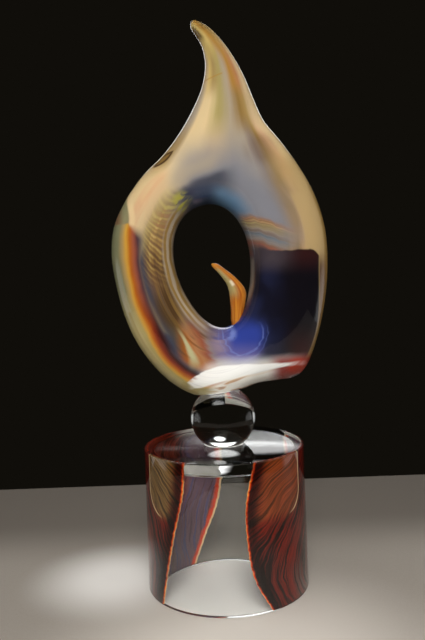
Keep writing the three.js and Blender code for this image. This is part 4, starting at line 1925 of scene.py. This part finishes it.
@dataclass
class Base:
    """The hollow base: clear cup and the coloured wings in its wall."""

    height: float = 115.0
    top_radius: float = 64.3
    foot_radius: float = 65.6
    wall: float = 7.0
    plate: float = 10.0
    fillet: float = 2.0
    edge_bevel: float = 1.0
    wing_thickness: float = 3.0
    wing_inset: float = 1.0
    cover: float = 0.35
    scallop: float = 0.22
    scallop_waves: tuple[tuple[float, float, float], ...] = (
        (1.0, 0.9, 0.0), (0.7, 1.63, 1.2), (0.5, 2.9, 0.4),
    )
    fused_gap: float = 0.05
    inner_bevel_share: float = 0.6
    bevel_steps: int = 4
    fillet_steps: int = 10
    sides: int = 192
    wing_columns: int = 120
    wing_rows: int = 90
    sharp_degrees: float = 40.0
    same_place: float = 0.01

    @property
    def profile(self) -> Edge:
        """Section of the cup, from the plate's underside round the wall to its top.

        Returns:
            Radius and height of each corner.
        """
        underside = self.height - self.plate
        return (
            (0, underside),
            (self.radius(underside) - self.wall, underside),
            (self.foot_radius - self.wall, 0),
            (self.foot_radius, 0),
            (self.top_radius, self.height),
            (0, self.height),
        )

    def radius(self, z: float) -> float:
        """Outer radius at a height."""
        return mix(self.foot_radius, self.top_radius, z / self.height)

    def wing_mesh(self, side: Side) -> bmesh.types.BMesh:
        """Bent panel of one wing, just under the base's outer face.

        Args:
            side: which wing.

        Returns:
            The mesh, with its panel and edge attributes.
        """
        edges = WINGS[side]
        bm = bmesh.new()
        bmesh.ops.create_grid(
            bm, x_segments=self.wing_columns, y_segments=self.wing_rows, size=0.5
        )
        low, high = self.wing_inset, self.height - self.wing_inset
        for vert in bm.verts:
            across, up = vert.co.x + 0.5, vert.co.y + 0.5
            z = mix(low, high, up)
            front, back = self.wing_span(edges, z)
            angle = mix(front, back, across)
            radius = self.radius(z) - self.cover
            vert.co = (radius * math.sin(angle), -radius * math.cos(angle), z)
        bmesh.ops.recalc_face_normals(bm, faces=bm.faces)
        self.face_outwards(bm)
        thickness = self.wing_thickness - self.cover
        bmesh.ops.solidify(bm, geom=bm.faces[:], thickness=thickness)
        bmesh.ops.recalc_face_normals(bm, faces=bm.faces)
        self.mark_wing(bm, edges)
        return bm

    def face_outwards(self, bm: bmesh.types.BMesh) -> None:
        """Turn an open panel's faces away from the axis.

        Args:
            bm: the panel.
        """
        bm.faces.ensure_lookup_table()
        face = bm.faces[0]
        middle = face.calc_center_median()
        if face.normal.x * middle.x + face.normal.y * middle.y < 0:
            bmesh.ops.reverse_faces(bm, faces=bm.faces)

    def wing_span(self, edges: WingEdges, z: float) -> tuple[float, float]:
        """Angles of a wing's front and back edges, with their small scallops.

        Args:
            edges: the wing's edges.
            z: the height.

        Returns:
            Both angles from the front, in radians.
        """
        share = z / self.height
        wave = sum(size * math.sin(z * pace + start) for size, pace, start in self.scallop_waves)
        wobble = self.scallop * wave / self.radius(z)
        front = math.radians(edges.degrees(edges.front, share))
        back = math.radians(edges.degrees(edges.back, share))
        outward = math.copysign(1.0, back - front)
        return front - outward * wobble, back + outward * wobble

    def mark_wing(self, bm: bmesh.types.BMesh, edges: WingEdges) -> None:
        """Store on each vertex where it lies on the wing, in millimetres.

        Args:
            bm: the wing.
            edges: its edges.
        """
        panel = bm.verts.layers.float_vector.new("panel")
        rims = bm.verts.layers.float_vector.new("edges")
        for vert in bm.verts:
            z = min(max(vert.co.z, self.wing_inset), self.height - self.wing_inset)
            angle = math.atan2(vert.co.x, -vert.co.y)
            front, back = self.wing_span(edges, z)
            if back < 0 < angle:
                angle -= 2 * math.pi
            radius = math.hypot(vert.co.x, vert.co.y)
            across = abs(angle - front) * radius
            vert[panel] = (across, z, self.radius(z) - self.cover - radius)
            vert[rims] = (abs(back - angle) * radius, across, abs(math.degrees(angle)))

    def build_wings(self, finish: CombedGlass) -> None:
        """Model both wings.

        Args:
            finish: their combed glass.
        """
        for side in Side:
            node = f"{side.value}_wing"
            piece = to_object(self.wing_mesh(side), f"{node}_combed", [finish.material(side)])
            keep_sharp(piece, self.sharp_degrees)
            attach(piece, node)

    def build_cup(self, clear: bpy.types.Material, joint: bpy.types.Material) -> None:
        """Model the clear cup, with cavities that the wings fill.

        Args:
            clear: finish of the glass.
            joint: finish of the faces that are fused to the wings.
        """
        bm = turned(self.profile, self.sides)
        self.round_ring(bm, Corner.UNDERSIDE, self.fillet, self.fillet_steps)
        for corner, share in (
            (Corner.INNER_FOOT, self.inner_bevel_share),
            (Corner.OUTER_FOOT, 1.0),
            (Corner.TOP, 1.0),
        ):
            self.round_ring(bm, corner, self.edge_bevel * share, self.bevel_steps)
        for side in Side:
            wing = self.wing_mesh(side)
            flipped_into(bm, wing, self.fused_gap, JOINT_SLOT)
            wing.free()
        piece = to_object(bm, "base_cup_clear", [clear, joint])
        keep_sharp(piece, self.sharp_degrees)
        attach(piece, "base_cup")

    def round_ring(
        self, bm: bmesh.types.BMesh, corner: Corner, radius: float, segments: int
    ) -> None:
        """Bevel one of the cup's round corners.

        Args:
            bm: the cup.
            corner: which corner.
            radius: the bevel's size.
            segments: the bevel's steps.
        """
        ring_radius, z = self.profile[corner]

        def on_ring(vert: bmesh.types.BMVert) -> bool:
            """Whether a vertex lies on the corner."""
            aside = abs(math.hypot(vert.co.x, vert.co.y) - ring_radius)
            return abs(vert.co.z - z) < self.same_place and aside < self.same_place

        edges = [edge for edge in bm.edges if all(on_ring(vert) for vert in edge.verts)]
        bmesh.ops.bevel(
            bm, geom=edges, offset=radius, segments=segments, profile=0.5,
            affect="EDGES", material=-1, clamp_overlap=True,
        )


# Studio


@dataclass(frozen=True)
class TableCloth:
    """Pale matt cloth, with painted shade towards the back and painted pools of light in front of
    and beside the base and in its hollow.
    """

    thread: Colour = hex_colour("#8a8177")
    nap: Colour = hex_colour("#989085")
    far: Colour = hex_colour("#544c43")
    lit: Colour = hex_colour("#c6bdb2")
    white: Colour = hex_colour("#f4efe8")
    grain_scale: float = 0.8
    roughness: float = 0.85

    def material(self) -> bpy.types.Material:
        """Build the material of the cloth, with its pools of light and its shade towards the back
        painted in.

        Returns:
            The material.
        """
        shader = Shader(bpy.data.materials.new("table_cloth"))
        x, y, z = shader.place()
        grain = shader.noise(shader.vector(x, y, z), self.grain_scale, 3)
        colour = shader.blend(self.thread, self.nap, grain)
        # Painted shade: the cloth darkens towards the back.
        colour = shader.blend(colour, self.far, y.rise(30, 150) * 0.75)
        # Painted pools of light: in front of the base, to its left, and under its hollow.
        for tone, middle, inner, outer, strength in (
            (self.lit, (10, -110), 30, 170, 1.0),
            (self.white, (-95, 12), 10, 85, 0.75),
            (self.white, (0, 0), 63.5, 65, 1.0),
        ):
            dx, dy = x - middle[0], y - middle[1]
            reach = (dx * dx + dy * dy).math("SQRT")
            colour = shader.blend(colour, tone, reach.fall(inner, outer) * strength)
        return shader.finish(shader.principled(Base_Color=colour, Roughness=self.roughness))


@dataclass(frozen=True)
class Lamp:
    """A soft box: place and size in metres, power, what shows it, and what it faces."""

    name: str
    place: tuple[float, float, float]
    size: tuple[float, float]
    watts: float
    mirrored: bool = True
    target: tuple[float, float, float] = (0.0, 0.0, 0.22)
    spread: float = 180.0
    seen_by_matt: bool = True

    def build(self) -> None:
        """Put the lamp in the scene."""
        data = bpy.data.lights.new(self.name, "AREA")
        data.shape = "ELLIPSE"
        data.size, data.size_y = self.size
        data.spread = math.radians(self.spread)
        data.energy = self.watts
        if self.mirrored:
            self.soften(data)
        lamp = bpy.data.objects.new(self.name, data)
        lamp.location = self.place
        aim = Vector(self.target) - Vector(self.place)
        lamp.rotation_euler = aim.to_track_quat("-Z", "Y").to_euler()
        lamp.visible_diffuse = self.seen_by_matt
        lamp.visible_glossy = self.mirrored
        lamp.visible_transmission = self.mirrored
        bpy.context.scene.collection.objects.link(lamp)

    def soften(self, data: bpy.types.Light) -> None:
        """Let the box fade out towards its edge, so that its mirror image has no hard outline.

        Args:
            data: the lamp's light.
        """
        shader = Shader(data)
        across, up, _ = shader.parts(shader.add("ShaderNodeNewGeometry", output="Parametric"))
        dx, dz = across - 0.5, up - 0.5
        reach = (dx * dx + dz * dz).math("SQRT")
        glow = shader.add("ShaderNodeEmission", None, {"Strength": reach.fall(0.25, 0.5)})
        shader.finish(glow, "Light")


@dataclass
class Studio:
    """Camera, lamps, table and surroundings."""

    camera_place: tuple[float, float, float] = (-0.0056, -0.5782, 0.2607)
    pitch: float = math.radians(4.47)
    roll: float = math.radians(2.09)
    focal_pixels: float = 723.0
    frame_height: float = 640.0
    sensor: float = 36.0
    table_back: float = 0.27
    table_half_width: float = 0.75
    table_front: float = -0.6
    table_drop: float = 0.0003
    nearest_seen: float = 0.01
    dark: Colour = hex_colour("#100e0a")
    fill_strength: float = 0.2
    lamps: tuple[Lamp, ...] = (
        Lamp("key_left", (-0.8, -0.9, 1.0), (1.0, 1.0), 2.5, mirrored=False),
        Lamp("fill_right", (1.0, -0.8, 0.7), (1.0, 1.0), 2.0, mirrored=False),
        Lamp(
            "front_high", (0.0, -0.9, 0.75), (0.4, 0.4), 1.9,
            mirrored=False, target=(0.0, -0.08, 0.08), spread=75.0,
        ),
        Lamp("front_low", (0.0, -1.2, 0.12), (0.9, 0.3), 2.5, mirrored=False),
        Lamp("side_left", (-0.8, 0.2, 0.06), (0.7, 0.5), 0.8, seen_by_matt=False),
        Lamp("side_right", (0.8, 0.2, 0.04), (0.7, 0.5), 0.7, seen_by_matt=False),
        Lamp("rear_left", (-0.8, 0.1, 0.4), (0.5, 0.8), 1.6, mirrored=False),
        Lamp("rear_right", (0.8, 0.1, 0.4), (0.5, 0.8), 1.6, mirrored=False),
        Lamp("back_high", (0.02, 0.75, 0.62), (0.75, 0.26), 1.5, seen_by_matt=False),
        Lamp("back_low", (0.1, 0.95, 0.42), (0.32, 0.2), 0.32, seen_by_matt=False),
        Lamp("top", (0.05, 0.0, 1.3), (0.9, 0.9), 1.2, mirrored=False),
    )

    def build_camera(self) -> None:
        """Set the camera at the photograph's place and angle."""
        data = bpy.data.cameras.new("camera")
        data.sensor_fit = "VERTICAL"
        data.sensor_height = self.sensor
        data.lens = self.focal_pixels / self.frame_height * self.sensor
        data.clip_start = self.nearest_seen
        camera = bpy.data.objects.new("camera", data)
        tilt = Matrix.Rotation(math.pi / 2 - self.pitch, 4, "X")
        turn = tilt @ Matrix.Rotation(-self.roll, 4, "Z")
        camera.matrix_world = Matrix.Translation(self.camera_place) @ turn
        bpy.context.scene.collection.objects.link(camera)
        bpy.context.scene.camera = camera

    def build_table(self) -> None:
        """Lay a pale table top, with painted light and shade on its cloth."""
        bm = bmesh.new()
        bmesh.ops.create_grid(bm, x_segments=2, y_segments=2, size=0.5)
        depth = self.table_back - self.table_front
        bmesh.ops.scale(bm, vec=(2 * self.table_half_width, depth, 1), verts=bm.verts)
        middle = (self.table_back + self.table_front) / 2
        bmesh.ops.translate(bm, verts=bm.verts, vec=(0, middle, -self.table_drop))
        mesh = bpy.data.meshes.new("table_top")
        bm.to_mesh(mesh)
        bm.free()
        mesh.materials.append(TableCloth().material())
        table = bpy.data.objects.new("table_top", mesh)
        bpy.context.scene.collection.objects.link(table)

    def build_world(self) -> None:
        """Dark surroundings to the eye, soft grey fill for whatever a matt face scatters."""
        shader = Shader(bpy.data.worlds.new("surroundings"))
        scattered = shader.light_path("Diffuse Depth").rise(0.0, 1.0)
        colour = shader.blend(self.dark, (self.fill_strength,) * 3, scattered)
        background = shader.add("ShaderNodeBackground", None, {"Color": colour})
        bpy.context.scene.world = shader.finish(background, "World")

    def build(self) -> None:
        """Build the whole studio."""
        self.build_camera()
        self.build_table()
        self.build_world()
        for lamp in self.lamps:
            lamp.build()
        bpy.context.scene.view_settings.view_transform = "Standard"


def main() -> None:
    """Build the sculpture piece by piece, then its surroundings."""
    logging.basicConfig(level=logging.INFO, format="%(name)s %(message)s")
    clear = ClearGlass().material()
    joint = FusedJoint().material()
    base = Base()
    base.build_cup(clear, joint)
    base.build_wings(CombedGlass())
    neck = Neck(base_height=base.height)
    neck.build_ball(clear, joint)
    neck.build_films(CuredGlue().material())
    flame = Flame(foot_height=neck.foot_height, tilt=neck.tilt)
    flame.build_casing(clear, joint)
    flame.build_core(MarbledGlass().material())
    flame.build_hook(AmberGlass().material())
    Studio().build()


if __name__ == "__main__":
    main()
